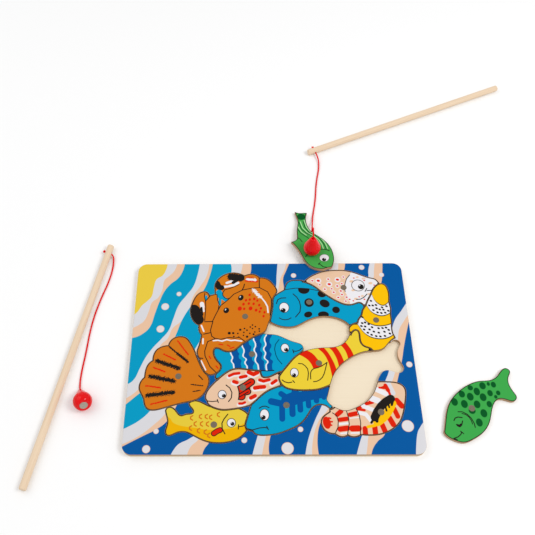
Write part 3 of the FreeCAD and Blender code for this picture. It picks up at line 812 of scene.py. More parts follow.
# %% [markdown]
# The sea runs from the left to the right of the board in bands. Every band's left edge is a
# wavy line from the back of the board to the front, drawn here as the x it has at some heights.
# The colours repeat: a white crest, a peach crest and then water. Each band is laid over the
# one before it, so a band needs only its left edge.
# %% Bands of the sea
crest_white = paint(220, 219, 223)
crest_peach = paint(236, 196, 164)
shallow = paint(0, 156, 198)
deep = paint(0, 88, 160)
sand = paint(236, 204, 68)
foam = paint(226, 224, 228)
bands = [
    (crest_white, [(-117, 110), (-118.2, 103), (-121.7, 95), (-128.8, 89), (-130.7, 80),
                   (-132.3, 68), (-136.5, 62), (-142.3, 56), (-146.8, 48), (-151, 44)]),
    (crest_peach, [(-106, 110), (-108.9, 100.6), (-114.4, 93.9), (-119.4, 88.3),
                   (-121.1, 76), (-125, 66), (-131.7, 59.4), (-134.4, 48.3), (-138.3, 37.2),
                   (-142.8, 32.8), (-151, 28)]),
    (shallow, [(-97.2, 110), (-100, 98.3), (-104.4, 90.6), (-112.2, 83.3), (-118.9, 73.3),
               (-123.3, 60.6), (-127.2, 46), (-131.1, 30.6), (-138.3, 21.7), (-151, 16)]),
    (crest_white, [(-80, 110), (-82.2, 95), (-86.1, 80.6), (-93.3, 69), (-101.7, 56),
                   (-106.7, 39.4), (-110.6, 26), (-118.3, 15), (-127.2, 3.9), (-133.9, -7.2),
                   (-138.9, -19.4), (-143.3, -30.6), (-151, -37)]),
    (crest_peach, [(-68.9, 110), (-71.7, 94), (-78.3, 80.6), (-86.1, 67.2), (-90.6, 48.3),
                   (-98.3, 36), (-107.2, 27), (-111.1, 16), (-119, 6.7), (-121, -9),
                   (-128, -27), (-137.8, -41.7), (-151, -52.5)]),
    (shallow, [(-65, 110), (-69.4, 89.4), (-75, 74.4), (-88, 55), (-97.2, 37.2),
               (-102.2, 21.7), (-108, 5), (-120, -27), (-130, -40), (-141.7, -51),
               (-151, -59.5)]),
    (crest_white, [(-44.4, 110), (-43.5, 100), (-82, 2), (-125, -66), (-135, -75.6),
                   (-145, -81.7), (-151, -84.6)]),
    (crest_peach, [(-30.6, 110), (-33.2, 97), (-81, 0), (-108.3, -67.2), (-120.6, -80.6),
                   (-132.8, -90.6), (-151, -100.2)]),
    (deep, [(-21, 110), (-22, 97), (-79, -3), (-98, -60), (-106.7, -76), (-116, -84),
            (-128.3, -90.6), (-143.9, -98.9), (-151, -102.8)]),
    (crest_white, [(9.2, 110), (7.8, 95), (6.3, 78), (-50, -40), (-66, -80), (-84, -94.4),
                   (-94.4, -100), (-98.3, -105), (-101, -110)]),
    (crest_peach, [(19.2, 110), (16.1, 99.4), (12.2, 90.6), (7.8, 71), (-52, -60),
                   (-75, -95.6), (-82.2, -102.8), (-85, -110)]),
    (deep, [(22.6, 110), (18.9, 100.6), (15, 89.4), (15.3, 76), (-42, -64), (-64.4, -99),
            (-69, -106), (-70, -110)]),
    (crest_white, [(67, 110), (67, 90), (-12, -80), (-17.8, -98.3), (-21, -110)]),
    (crest_peach, [(79, 110), (77.5, 100), (-4, -80), (-8.9, -97.2), (-11.7, -110)]),
    (deep, [(86.7, 110), (84.8, 100.6), (2, -80), (-3, -91.7), (-5, -104), (-4.4, -110)]),
    (crest_white, [(115, 110), (112.2, 99.4), (111.7, 92.8), (49.4, -60.6), (41.7, -76),
                   (33.9, -96), (30.6, -110)]),
    (crest_peach, [(120.6, 110), (118.6, 99.4), (117.8, 92.8), (55.6, -64), (45.6, -76),
                   (38.9, -95), (37.2, -110)]),
    (deep, [(129.4, 110), (127.8, 97), (125.6, 85), (60, -64), (46.7, -79.4), (43.3, -95),
            (43.7, -110)]),
    (crest_white, [(151, 59), (145, 50.6), (132.2, 30.6), (121.7, -22.8), (117.8, -31.7),
                   (87.2, -92), (83.9, -100.6), (80.6, -110)]),
    (crest_peach, [(151, 44.5), (145, 36), (137.8, 24), (136.7, 19.4), (127.8, -24.4),
                   (124.4, -32.8), (93.9, -91.7), (91.7, -102.8), (90, -110)]),
    (deep, [(151, 38), (147.8, 28.3), (140.6, 4), (137.2, -9.4), (129.4, -33.3), (110, -90),
            (102.2, -97.2), (96.7, -105), (95, -110)]),
    (crest_white, [(151, -76.5), (146, -82.8), (142.8, -88.3), (139.4, -102.8),
                   (138.3, -110)]),
]
sea = Print("sea_print", sand)
for tone, points in bands:
    sea.lay(-sea.right_of(points), tone)
sea.tell()

# %% [markdown]
# Small bubbles rise between the creatures. Each is a pale disc with a thin peach rim, so it is
# laid twice. Scraps and upper sheet were printed at once, and so they share this print.
# %% Bubbles
bubble_rim = 0.5
bubbles = [
    (-102, 70.5, 5.5), (-116.5, 54.5, 8.5), (-120, 27, 8.5), (-125.5, -104.5, 8),
    (-117, -86.5, 5.5), (-29, -95.7, 5.7), (13.5, -103.8, 12), (27, -84.7, 5.5),
    (134, -81.5, 12), (144, -15.3, 6.5), (27, 94, 6), (105, 104.5, 6.5), (126.5, 94.5, 6),
]
for x, y, across in bubbles:
    sea.lay(sea.disc(x, y, across / 2), crest_peach)
    sea.lay(sea.disc(x, y, across / 2 - bubble_rim), foam)
sea_print = sea.varnished()
for printed in [play_board, *scraps]:
    printed.data.materials.append(sea_print)
print("sea drawn with", len(sea.tree.nodes), "nodes")

# %% [markdown]
# Each creature starts as one colour. Its figures are laid over that ground in the order in
# which they cover each other, and the black outline and the sawn wall come last.
# %% Inks and grounds
ink_red = paint(224, 34, 4)
ink_blue = paint(0, 84, 158)
ink_turquoise = paint(0, 157, 200)
ink_peach = paint(236, 198, 166)
ink_orange = paint(214, 120, 22)
ink_yellow = paint(252, 194, 2)
grounds = {
    "crab": ink_orange, "scallop_shell": ink_orange, "cone_shell": ink_yellow,
    "striped_fish": paint(238, 208, 56), "blotched_fish": ink_peach,
    "ribbed_fish": ink_turquoise, "speckled_fish": ink_peach, "spotted_fish": ink_turquoise,
    "wavy_fish": ink_turquoise, "goldfish": paint(232, 204, 62), "whelk_shell": ink_peach,
    "green_spotted_fish": paint(62, 168, 76), "green_striped_fish": paint(72, 168, 76),
}
prints = {name: Print(name + "_print", ground) for name, ground in grounds.items()}
print(len(prints), "grounds:", ", ".join(prints))

# %% [markdown]
# The crab has the busiest print: turquoise hollows, red and black spots, and a shell with its
# claws in black pen. Spots are ovals with a soft rim, as the red ink has run a little. They
# come first, because pen lines cross them.
# %% The crab's spots
crab = prints["crab"]
for points, width in [
    ([(-57.2, 72.4), (-55.8, 68)], 7.0), ([(-54, 66), (-49.6, 63)], 4.6),
    ([(-55.8, 66), (-56.2, 57)], 3.0), ([(-71.4, 67.4), (-71.3, 63)], 2.4),
]:
    crab.pen(points, width, ink_turquoise)
for x, y, across in [
    (-33.9, 51.7, 4.4), (-29, 51.4, 2.4), (-22, 51.9, 4.0), (-15.9, 49.7, 2.8),
    (-12, 47.8, 2.2), (-6.7, 47, 2.2), (-10.6, 51.9, 2.4), (-12.4, 56, 2.4),
    (-18.6, 57.6, 2.4), (-23.9, 58, 2.4), (-29.8, 57.2, 2.6), (-27, 62.2, 2.4),
    (-22.8, 63, 2.4), (-17.8, 63.9, 2.6), (-14.4, 61.7, 2.2), (-23, 69, 2.4),
    (-7.8, 42.2, 2.2),
]:
    crab.lay(crab.oval(x, y, across / 2 + 0.5, across / 2 + 0.1, 75), ink_red, 0.6)
for x, y, across in [
    (-45.2, 21.7, 3), (-40.9, 21.7, 2.3), (-33.3, 25.8, 2.3), (-28.7, 27.2, 1.5),
    (-26, 25.2, 1.6), (-22.4, 29, 1.5), (-20, 31.4, 1.5), (-16.9, 29.4, 1.5),
    (-12.8, 26.7, 1.6), (-12.6, 24, 1.4), (-18.9, 20.3, 2), (-25.9, 17.4, 2.4),
    (-29.8, 19, 1.4), (-35, 17, 1.4), (-40.2, 17.6, 1.6), (-35.9, 21.3, 1.5),
    (-29.4, 22.6, 1.5), (-23, 21.4, 1.5), (-20, 27.2, 1.4), (-17.6, 23, 1.4),
]:
    crab.lay(crab.disc(x, y, across / 2 + 0.15), ink_black, 0.2)
for start, end in [((-56, 8.6), (-52, 8)), ((-47, 7.6), (-44.4, 6)), ((-44, 3.6), (-40, 5)),
                   ((-60, 4.6), (-61.6, 1)), ((-58.6, -16.6), (-56.6, -19)),
                   ((-64.6, -8), (-66.2, -5.4))]:
    crab.pen([start, end], 1.3, ink_red, 0.6)
crab.tell()

# %% [markdown]
# The shell, the claws and the legs are drawn with one pen about a millimetre wide. A line
# through a few points is enough, because its joints are round.
# %% The crab's pen lines
for points, width in [
    ([(-63.7, 36), (-60.7, 43.3), (-57.7, 50), (-55, 55.6), (-47.2, 62.6), (-40.6, 70),
      (-30.6, 75.4), (-18.3, 78), (-11.7, 78.3), (-2.8, 72.8), (1.1, 64), (1.1, 57),
      (-0.6, 43)], 1.0),
    ([(-63.3, 35.6), (-65.6, 25), (-64, 18), (-60.6, 15.6), (-54.4, 14.4), (-45, 16.7),
      (-39.4, 15.6), (-34.4, 16.7), (-27.2, 11)], 1.0),
    ([(-12, 91), (-12, 79)], 1.1), ([(-28.7, 83), (-29.6, 79), (-31.3, 75.4)], 1.1),
    ([(-73.2, 71), (-73.3, 66.7), (-72, 61.3), (-71.5, 53.3), (-72.2, 37)], 1.0),
    ([(-72, 61.3), (-67.3, 67.6)], 1.1),
    ([(-61, 70), (-59.3, 69.3), (-58.7, 62.7), (-56.7, 57.3), (-57.7, 50)], 1.0),
    ([(-72.2, 35.6), (-63.3, 35.9)], 1.1), ([(-72.8, 20.6), (-66, 22.2)], 1.1),
    ([(-60.6, 15), (-68.3, 11.7), (-71.1, 0.6), (-70.6, -5), (-65, -17.2), (-58.3, -24)], 1.0),
    ([(-77.2, -7.2), (-72.8, -7.8)], 1.1),
]:
    crab.pen(points, width)
for points, width in [
    ([(-62.2, 12.8), (-57.2, 13.3), (-52.8, 12.2), (-47.8, 14), (-43.3, 12.8),
      (-38.9, 13.3), (-31.7, 12.2)], 1.5),
    ([(-10.5, 66.4), (-6, 60), (-3.3, 54), (-2.8, 46.8)], 1.6),
    ([(-75.6, 31), (-72.8, 24)], 1.7), ([(-73.3, 15), (-73.3, 9.4)], 1.7),
    ([(-74.4, -10.6), (-69.4, -21)], 1.3),
]:
    crab.pen(points, width, ink_white)
crab.tell()

# %% [markdown]
# The claws are shaded with ragged black, white and red strokes, and the eyes are black ovals
# with a light. The strokes could be drawn hair by hair, but at this size noise on the sides of
# one broad stroke looks the same.
# %% The crab's claws and eyes
crab.pen([(-27, 87.4), (-14.6, 86.4)], 2.4, ink_red, 1.6)
crab.pen([(-26, 91.8), (-19, 92)], 1.2, ink_red, 1.0)
crab.hatch((-25.6, 89.2), (-16.4, 88.6), 2.8, ink_white)
crab.hatch((-18.6, 75.4), (-11.6, 66.6), 3.6, ink_white, 1.9)
crab.pen([(-51, 79.6), (-41, 81.6), (-36, 84.6)], 3.0, ink_white)
crab.pen([(-48.6, 84.6), (-43, 86.8)], 3.0, ink_white)
crab.pen([(-50.6, 82), (-47.4, 82)], 1.5, ink_orange)
crab.hatch((-43.6, 92.6), (-33, 91.2), 9.2, ink_black, 0.5)
crab.pen([(-37, 88.4), (-41.4, 85)], 3.8)
crab.pen([(-59.6, 84), (-57.6, 79.2), (-54.6, 78.4)], 6.6)
crab.pen([(-51, 75.8), (-45.3, 77.3), (-40, 79.7), (-35, 82.5)], 1.0)
crab.pen([(-51, 75.4), (-53, 72), (-53, 68.7), (-50.7, 65.3), (-47.7, 64), (-45.3, 65)], 1.0)
crab.pen([(-76, 58), (-75.2, 54)], 4.8, ink_white)
crab.pen([(-74.6, 56), (-73.7, 48.6)], 2.2, ink_white)
crab.pen([(-84.4, 51), (-81.6, 45), (-79, 38)], 11.6)
crab.pen([(-86, 55), (-84, 50), (-79.7, 53), (-78, 49), (-76.2, 53), (-75, 44)], 2.2)
for x, y, width, height, turn in [(-32.7, 65.5, 5.8, 7.6, -25), (-48.8, 49.5, 6.2, 7.2, -20)]:
    crab.lay(crab.oval(x, y, width / 2, height / 2, turn), ink_black)
    crab.lay(crab.oval(x - 0.8, y + 1.0, 0.6, 1.1, turn), ink_white, 0.6)
crab.tell()

# %% [markdown]
# The scallop's ribs are hatched: ragged black strokes that fan out from its hinge, with a red
# one between each two.
# %% The scallop shell
scallop = prints["scallop_shell"]
for start, end, width in [
    ((-108.9, 5.6), (-88.3, -12.2), 1.8), ((-100, -2), (-88.9, -11.6), 2.9),
    ((-121, -10.6), (-97.8, -18.9), 4.6),
    ((-127, -27.8), (-102.4, -33.3), 4.6),
    ((-128.6, -48.9), (-102.4, -45.6), 4.6),
    ((-76.7, -27), (-72.2, -31.7), 1.1), ((-83.9, -37), (-71.9, -38.6), 1.1),
    ((-81.7, -44.8), (-74.4, -43.6), 1.1),
]:
    scallop.hatch(start, end, width, ink_black)
for start, end in [
    ((-100.6, 12.8), (-88.5, -3.5)), ((-114.4, -2.8), (-101.7, -9.4)),
    ((-124.4, -18), (-112.2, -22.8)), ((-131, -38.3), (-115.6, -40.6)),
    ((-124.4, -58.3), (-108.3, -54.4)),
]:
    scallop.hatch(start, end, 1.5, ink_red)
scallop.tell()

# %% [markdown]
# The cone shell has two white bands between four black arcs, and small slanted specks on both
# bands. An arc is a smooth line across the shell, and a band is what lies between two of them.
# %% The cone shell
cone = prints["cone_shell"]
cone_arcs = [
    [(112, 73), (113.3, 68.3), (115.6, 61.7), (119.4, 57.2), (123.9, 55.2), (127.8, 56.7),
     (131, 60.5)],
    [(104, 60), (107.2, 52.8), (110.6, 47.2), (115, 44), (120.6, 42.2), (126, 43), (131, 45.8)],
    [(97, 47), (101, 39.4), (104.4, 35), (109.4, 31.7), (116, 30), (122.8, 30.3), (132, 33.4)],
    [(94, 32), (96.7, 27.2), (99.4, 22.8), (104, 18.3), (109.4, 15.6), (116, 14.4),
     (122.8, 15), (133, 21)],
]
heights = [cone.above(points) for points in cone_arcs]
cone.lay(heights[0] & -heights[1], ink_white)
cone.lay(heights[2] & -heights[3], ink_white)
for height in heights:
    cone.lay(abs(height) - 0.55, ink_black)
for x, y in [
    (111.4, 60.8), (109, 55), (112.8, 55), (116.4, 55.6), (116.7, 51.4), (113, 49.2),
    (120, 50), (122.8, 52.6), (127.8, 54), (124, 49.7), (117.2, 46.4), (121.3, 45.6),
    (125.6, 46), (129.2, 48.3), (100, 40.6), (102.4, 34), (99.2, 33.3), (98, 29.7),
    (102, 29.2), (106, 32), (100.6, 25.6), (106.4, 25.6), (109.4, 28.3), (110.8, 23),
    (104.2, 21.7), (108, 19.2), (112.8, 17.6), (116, 21.7), (116.3, 27), (120.6, 27.2),
    (124.4, 27.8), (122.2, 22.8), (127, 25), (117.2, 17.2), (122.2, 17.8), (127.8, 20.6),
]:
    cone.lay(cone.oval(x, y, 1.5, 1.1, -30), ink_black, 0.3)
cone.tell()

# %% [markdown]
# The whelk's whorls are rows of red and white dashes that follow its turns. Each dash is one
# short pen line with a softer rim than the black ink has.
# %% The whelk's dashes
whelk = prints["whelk_shell"]
whelk.lay(whelk.oval(53.6, -78, 4.0, 6.4, 8), ink_red, 0.5)
for start, end, width, tone in [
    ((56, -73), (57.6, -73.6), 1.8, ink_red), ((57, -77), (59, -77), 1.8, ink_red),
    ((56.6, -80), (58.2, -80.6), 1.8, ink_red), ((64.6, -69.6), (68.6, -66.2), 5.0, ink_red),
    ((66.6, -75), (74, -74), 4.6, ink_red), ((66.4, -79.4), (74.2, -78.6), 2.2, ink_white),
    ((66.4, -84.6), (73.8, -83.6), 5.6, ink_red), ((67, -89), (73, -88.4), 1.6, ink_white),
    ((77.4, -69.8), (84, -68.4), 4.8, ink_red), ((77, -73.4), (86, -72.6), 1.0, ink_white),
    ((78.6, -84), (84.8, -83.8), 6.4, ink_red), ((77, -88.6), (85, -88.4), 1.6, ink_white),
    ((85, -64), (92.4, -65), 2.6, ink_red), ((86, -62.6), (91, -61.6), 2.6, ink_red),
    ((87, -67.8), (93.4, -69.4), 4.0, ink_white), ((93.4, -69.4), (97.6, -75.6), 4.0, ink_white),
    ((91.6, -60.6), (101.6, -65), 4.4, ink_white), ((95, -58.2), (101.2, -56.6), 3.6, ink_red),
    ((99, -55.6), (102.6, -56), 2.4, ink_red), ((101, -52.6), (107, -55), 6.4, ink_white),
    ((105.6, -42.4), (116, -47.6), 5.4, ink_white), ((119, -35), (123.4, -47), 5.0, crest_white),
    ((116.4, -38.6), (118.6, -44), 4.2, ink_red), ((118.4, -43), (119.9, -48), 2.6, ink_red),
    ((110, -41), (115.4, -41.6), 2.2, ink_red), ((112.6, -41), (116, -39.6), 2.6, ink_red),
    ((91.2, -84), (91.2, -91), 5.2, ink_red), ((101, -82), (101.2, -90.6), 5.4, ink_red),
    ((108.6, -80), (111.2, -88), 5.4, ink_red), ((116.6, -73), (119.8, -80), 5.6, ink_red),
    ((122.4, -63.6), (125.2, -71.6), 5.0, ink_red), ((126, -54.8), (130.6, -60.6), 6.0, ink_red),
]:
    whelk.pen([start, end], width, tone, 0.3)
whelk.tell()

# %% [markdown]
# The mouth of the whelk is a broad yellow lip round a black opening, with black folds across
# the lip. The three lines to the left of it part the whorls.
# %% The whelk's mouth
whelk.pen([(94.4, -82.2), (101, -80.8), (107.5, -77.8)], 3.2, ink_yellow)
whelk.pen([(104, -77.6), (110, -73.6), (116, -67), (121.2, -58)], 8.4, ink_yellow)
whelk.pen([(102, -72.6), (105.2, -66.6), (109.6, -60.8), (115, -56), (120.4, -52.8)], 8.4)
for start, end, width in [
    ((98.1, -78), (101.5, -73), 2.4), ((103.8, -76.6), (105, -70), 3.0),
    ((114.6, -65.6), (113.5, -58), 1.9), ((111.4, -62.6), (111, -58), 2.6),
    ((117.7, -62), (117, -57), 1.9), ((120.5, -59.6), (122.4, -54.6), 2.4),
]:
    whelk.pen([start, end], width)
for points in [
    [(60, -67.8), (63.9, -70.6), (65.2, -76), (64.4, -82.8), (61.7, -88)],
    [(73.9, -64), (75.6, -72.8), (75.9, -79.4), (73.3, -90)],
    [(83.9, -62), (86.7, -70.6), (87.4, -78.3), (86, -90)],
]:
    whelk.pen(points, 0.9)
whelk.tell()

# %% [markdown]
# The fish are alike in how they are drawn: marks of the body first, then fins and gills in
# black pen, and the eye on top. This one has four red bands, each between two smooth lines. The
# first band also stops at the fin.
# %% The striped fish
striped = prints["striped_fish"]
fin_top = [(40, -22.6), (42, -20.6), (44, -19.7), (48, -18.7), (52, -17), (55.3, -14.7),
           (58.4, -12.4), (62, -9)]
red_bands = [
    ([(24, 1), (29.7, -4), (32.7, -5.7), (36, -8), (39.3, -11.3), (41.7, -15.3), (43.5, -21)],
     [(36, 2), (38.3, 0.7), (41.3, -1), (45.3, -4.7), (48.3, -9), (50.7, -12), (53.4, -18)]),
    ([(45, 6), (48.7, 3.7), (51, 1.7), (54.7, -2.3), (57.3, -6.7), (59.3, -12), (60.7, -18),
      (62.5, -30)],
     [(52, 6.4), (55.7, 4), (58.3, 1), (61.3, -4), (64, -10), (66, -15.3), (68, -24)]),
    ([(58, 7), (61.3, 4), (64.3, 0.7), (66.7, -4), (68.7, -9.3), (70.2, -18)],
     [(66, 7.6), (68.7, 4.7), (71, 1.3), (73.3, -3.3), (74.7, -7.3), (76.6, -14)]),
    ([(70, 9.6), (73.7, 7), (76.7, 3.3), (78.7, -0.7), (80, -5.3), (80.8, -11)],
     [(77, 12.6), (79.3, 10.3), (81.7, 6.7), (84, 2.7), (85.7, -1.3), (87.4, -7)]),
]
for left, right in red_bands:
    between = -striped.right_of(left) & striped.right_of(right)
    if left is red_bands[0][0]:
        between = between & -striped.above(fin_top)
    striped.lay(between, ink_red, 0.3)
striped.pen([(40, -31.3), (40, -26), (40.5, -23.4), (42, -21), (44, -19.7), (48, -18.7),
             (52, -17), (55.3, -14.7), (58.1, -12.7), (57.3, -15.3), (56, -20), (54.3, -25.3),
             (52.3, -29.3), (49.3, -32.3), (46, -33.9), (42.7, -34.3)], 1.0)
striped.pen([(28, -13.9), (32, -14.3), (35, -16.7), (37.3, -20), (37.9, -24.7),
             (37.3, -29.3), (36.7, -32.7)], 1.0)
striped.pen([(10.3, -32.3), (12.7, -34.3), (16.7, -35.5), (20.3, -34.7)], 1.1)
striped.pen([(21.4, -33), (23, -35.2)], 1.0)
striped.eye((23.3, -24.3), (7.6, 9.4), (22.9, -27), 4.2)
striped.tell()

# %% [markdown]
# Red blotches with a white glow below them cover the back of the next fish. The white is laid
# under all the red ones, or a blotch would hide a part of its neighbour. The side fin is three
# broad strokes joined and cut off at the gill. It is laid in black and then, a little smaller,
# in red, which leaves a black rim.
# %% The blotched fish
blotched = prints["blotched_fish"]
blotches = [
    ([(-44.6, -27.6), (-40, -25.4), (-34.4, -24.7)], 3.2), ([(-33, -29.3), (-27.2, -28)], 3.7),
    ([(-39.8, -34), (-36.6, -35.1)], 4.0), ([(-24.4, -23.6), (-19.4, -26), (-15.4, -24)], 4.6),
    ([(-13, -32.3), (-9, -33.6), (-3.2, -32)], 3.6), ([(-0.2, -36), (4, -33)], 3.6),
    ([(-18, -41), (-13.5, -40.2), (-8.4, -39.8)], 4.4), ([(-22.2, -51.8), (-18, -49.6)], 4.2),
    ([(-34, -57.8), (-31, -57.8), (-28.4, -56.6)], 2.8),
]
for points, width in blotches:
    below = [(x - 0.4, y - 1.2) for x, y in points]
    blotched.pen(below, width + 1.2, ink_white, 1.4)
for points, width in blotches:
    blotched.pen(points, width, ink_red, 0.3)
fin_front = [(-37.6, -37.6), (-35.6, -42.6), (-34.9, -47), (-36.6, -55.6)]
fin = blotched.stroke([(-35, -43), (-27.2, -38.4), (-21.8, -34.4)], 8.4)
fin = fin | blotched.stroke([(-32, -46.6), (-25.4, -45)], 7.4)
fin = fin | blotched.stroke([(-34, -49.8), (-31.8, -50.2)], 8.6)
fin = fin & -blotched.right_of(fin_front)
blotched.lay(fin, ink_black)
blotched.lay(fin + 1.2, ink_red)
for points in ([(-28.4, -38), (-22.2, -34.6)], [(-23, -41.2), (-27.6, -43.4), (-34, -47.4)],
               [(-24.8, -45.2), (-29.2, -48), (-34, -50.8)]):
    blotched.pen(points, 1.1)
blotched.pen([(-47.8, -37.8), (-43.9, -41), (-41.7, -46), (-42.2, -51.7), (-45, -55.6)], 1.1)
blotched.pen([(-66.7, -55), (-61.7, -55.6), (-56, -55)], 1.0)
blotched.pen([(-56.6, -53.4), (-55.4, -56.8)], 1.0)
blotched.eye((-51.7, -48.1), (7.6, 8.4), (-50, -49.4), 4.0)
blotched.tell()

# %% [markdown]
# A blue figure like a backbone with ribs lies on the turquoise fish. Broad pen lines make it,
# because they join by themselves.
# %% The ribbed fish
ribbed = prints["ribbed_fish"]
for points, width in [
    ([(15.6, -55), (30, -49), (52, -44.6)], 14.0), ([(24, -45.6), (53, -43)], 9.0),
    ([(8.8, -47.4), (15.4, -52.2)], 5.8), ([(-1.4, -55.6), (8, -57.8), (12, -59)], 7.0),
    ([(9.4, -60), (9.2, -74)], 5.8), ([(19.7, -58), (19.7, -69)], 6.2),
    ([(27.6, -54), (27.8, -64.6)], 5.8), ([(36, -51), (36.4, -60.4)], 5.4),
    ([(44.6, -48), (44.6, -55)], 5.6), ([(52, -45), (52.3, -51.6)], 4.8),
]:
    ribbed.pen(points, width, ink_blue)
ribbed.lay(ribbed.oval(28.5, -44, 2.3, 1.3), ink_turquoise, 0.4)
ribbed.pen([(-13.9, -62.8), (-10.6, -60.8), (-7.2, -60.6), (-3.9, -62.2)], 1.0)
ribbed.pen([(-26, -84), (-20.8, -85.3), (-13.9, -83.3), (-8.3, -82.8), (-5.6, -83.6)], 1.0)
ribbed.pen([(-6.6, -81.6), (-5.0, -85.0)], 1.0)
ribbed.eye((-8.6, -69.7), (8.5, 11), (-9.7, -72.4), 4.5)
ribbed.tell()

# %% [markdown]
# The speckled fish has a white face and red flecks, each on a soft white spot. The white spots
# all come first, so that none covers a fleck.
# %% The speckled fish
speckled = prints["speckled_fish"]
speckled_gill = [(93, 99), (90.6, 94.4), (86.7, 89.4), (84.8, 84), (83.5, 78), (83.9, 72.8),
                 (86, 67), (88, 60)]
speckled.lay(-speckled.right_of(speckled_gill), ink_white)
for x, y, across in [(95, 63.5, 3), (92, 86, 3.4), (106, 89.5, 3.2), (113, 83.5, 3.4),
                     (93, 74.5, 3), (110, 69.5, 2.6), (102.5, 67, 2.6), (99, 91.5, 2.4)]:
    speckled.lay(speckled.oval(x, y, across * 0.7, across * 0.45, 10), ink_peach, 0.6)
flecks = [
    (48, 87, 2.2), (54.7, 87, 3.5), (66, 89, 2.2), (76.4, 88.3, 3.4), (83.3, 91.7, 2),
    (66.7, 82.4, 3.5), (56, 81.7, 2), (61.3, 76, 2.2), (69, 76.4, 2), (75.6, 80, 2.4),
    (80.8, 83, 2), (71, 72, 2.2), (75.6, 65.3, 2.2), (79, 73.6, 2.4), (80, 69, 2.2),
    (84.8, 65.6, 2.2), (88, 62.8, 2), (83.6, 60.6, 2), (92, 61, 1.8), (98.9, 66, 1.8),
    (104.4, 62.8, 2), (95, 90.3, 1.8), (106.4, 87.2, 2), (117, 81, 1.8),
]
for x, y, across in flecks:
    speckled.lay(speckled.disc(x, y, across * 0.95), ink_white, 1.0)
for x, y, across in flecks:
    speckled.lay(speckled.oval(x, y, across * 0.55, across * 0.42, -15), ink_red, 0.4)
speckled.pen(speckled_gill[1:6], 0.9)
speckled.pen([(108.3, 73.9), (114.4, 74.4)], 1.0)
speckled.pen([(108.3, 76.7), (106, 72.8)], 1.0)
speckled.pen([(95.6, 62.6), (100, 63), (104.4, 65.6), (107.8, 69.4)], 1.0)
speckled.eye((98.9, 80.6), (13.6, 13.6), (101.9, 78.9), 6.5)
speckled.tell()

# %% [markdown]
# Large black spots, some of them cut off by the outline, cover the next fish. They are whole
# ovals here, and the saw cuts them.
# %% The spotted fish
spotted = prints["spotted_fish"]
for x, y, width, height, turn in [
    (42.8, 58.9, 10.5, 11, 0), (60, 57.8, 11.5, 9.5, -30), (57.8, 70, 10, 9, 0),
    (41.1, 44.1, 9.3, 7.2, 20), (57.8, 43.9, 12, 8, 0), (72, 49.7, 8.5, 8.3, 0),
]:
    spotted.lay(spotted.oval(x, y, width / 2, height / 2, turn), ink_black, 0.3)
spotted_fin = [(10, 73), (17.2, 75.6), (28.3, 77.4), (35, 77.4), (42.8, 76.7), (54, 74)]
spotted.lay(spotted.oval(37.8, 75.5, 6.4, 5.5) & spotted.above(spotted_fin), ink_black, 0.3)
spotted.pen(spotted_fin[1:], 0.9)
spotted.pen([(6.7, 57.8), (8.3, 62.8), (12.2, 64.8), (17.2, 65)], 1.1)
spotted.pen([(9.4, 40), (12.2, 38.3), (15.6, 37.6), (19.4, 38.3), (22.2, 40)], 1.0)
spotted.pen([(25.6, 70), (29.4, 66), (32.2, 60.6), (33.3, 54), (32.2, 47.2), (27.2, 41)], 1.1)
spotted.eye((15, 52.8), (10, 11.7), (13.9, 49.4), 5.5)
spotted.tell()

# %% [markdown]
# This fish has four wavy blue stripes, each with a white line along its left side. A stripe is
# what lies between two smooth lines, as on the striped fish, and its white line is the same
# curve with a width.
# %% The wavy fish
wavy = prints["wavy_fish"]
wavy_lines = [
    [(-44.4, 3), (-43.9, 0), (-42.6, -4), (-41.4, -7.2), (-42.4, -10.5), (-40.4, -14.5),
     (-39.7, -21)],
    [(-31.6, 10), (-31.1, 6), (-29.2, 0.6), (-30.2, -5), (-26.9, -9.4), (-28.2, -12.5),
     (-26, -17.4), (-26, -22)],
    [(-19.6, 20), (-18.9, 14), (-16.9, 7), (-18.4, 2), (-16.2, -4.4), (-17.4, -9.4),
     (-14.6, -15.4), (-13.9, -22)],
    [(-4, 22), (-5.6, 18.3), (-7.2, 14), (-6, 8.3), (-8.2, 2.8), (-6.4, -2), (-7.6, -7),
     (-4.2, -12), (-6, -16), (-4.4, -22)],
]
wavy_bands = [
    [(-36.2, 3), (-35.9, 0), (-34.2, -3), (-34.9, -5), (-34.4, -8), (-31.9, -10.6),
     (-32.6, -14), (-32, -17), (-31.6, -21)],
    [(-24.8, 14), (-24.2, 11), (-23.6, 8), (-21.4, 5), (-22.2, 1), (-20.4, -4), (-20.8, -9),
     (-18.4, -13), (-20, -17.6), (-18.6, -22)],
    [(-8.8, 20), (-11.4, 15), (-12.3, 12), (-10.4, 8), (-12, 1.4), (-9.6, -2.4),
     (-10.8, -8), (-8, -12), (-8.3, -15), (-6.2, -22)],
    [(2.6, 21), (0, 17), (-1.8, 11), (0, 7), (-2, 0.4), (0, -3), (-1.5, -8), (1.2, -11.4),
     (0.2, -16), (2, -22)],
]
below_body = wavy.above([(-50, -20.6), (0, -21.8), (4, -21.8)])
for points, far_side in zip(wavy_lines, wavy_bands):
    off_line = wavy.right_of(points)
    wavy.lay(-off_line & wavy.right_of(far_side) & -below_body, ink_blue)
    wavy.lay((abs(off_line) - 0.75) & -below_body, ink_white)
wavy.pen([(-12, -21.9), (-5, -22.2), (2, -21.6)], 1.1)
wavy.pen([(8.3, 13.9), (4.4, 8.3), (3.3, 2.8), (4.4, -3.9), (6.4, -9), (10.6, -14.4)], 0.9,
         paint(0, 70, 96))
wavy.pen([(22.8, 0.4), (26, 0.1), (29.4, 1.1), (32.4, 3.6)], 1.0)
wavy.pen([(22.6, 2.0), (23.6, -1.9)], 1.0)
wavy.eye((14.4, 3.9), (8, 9.5), (15.6, 1.9), 4.4)
wavy.tell()

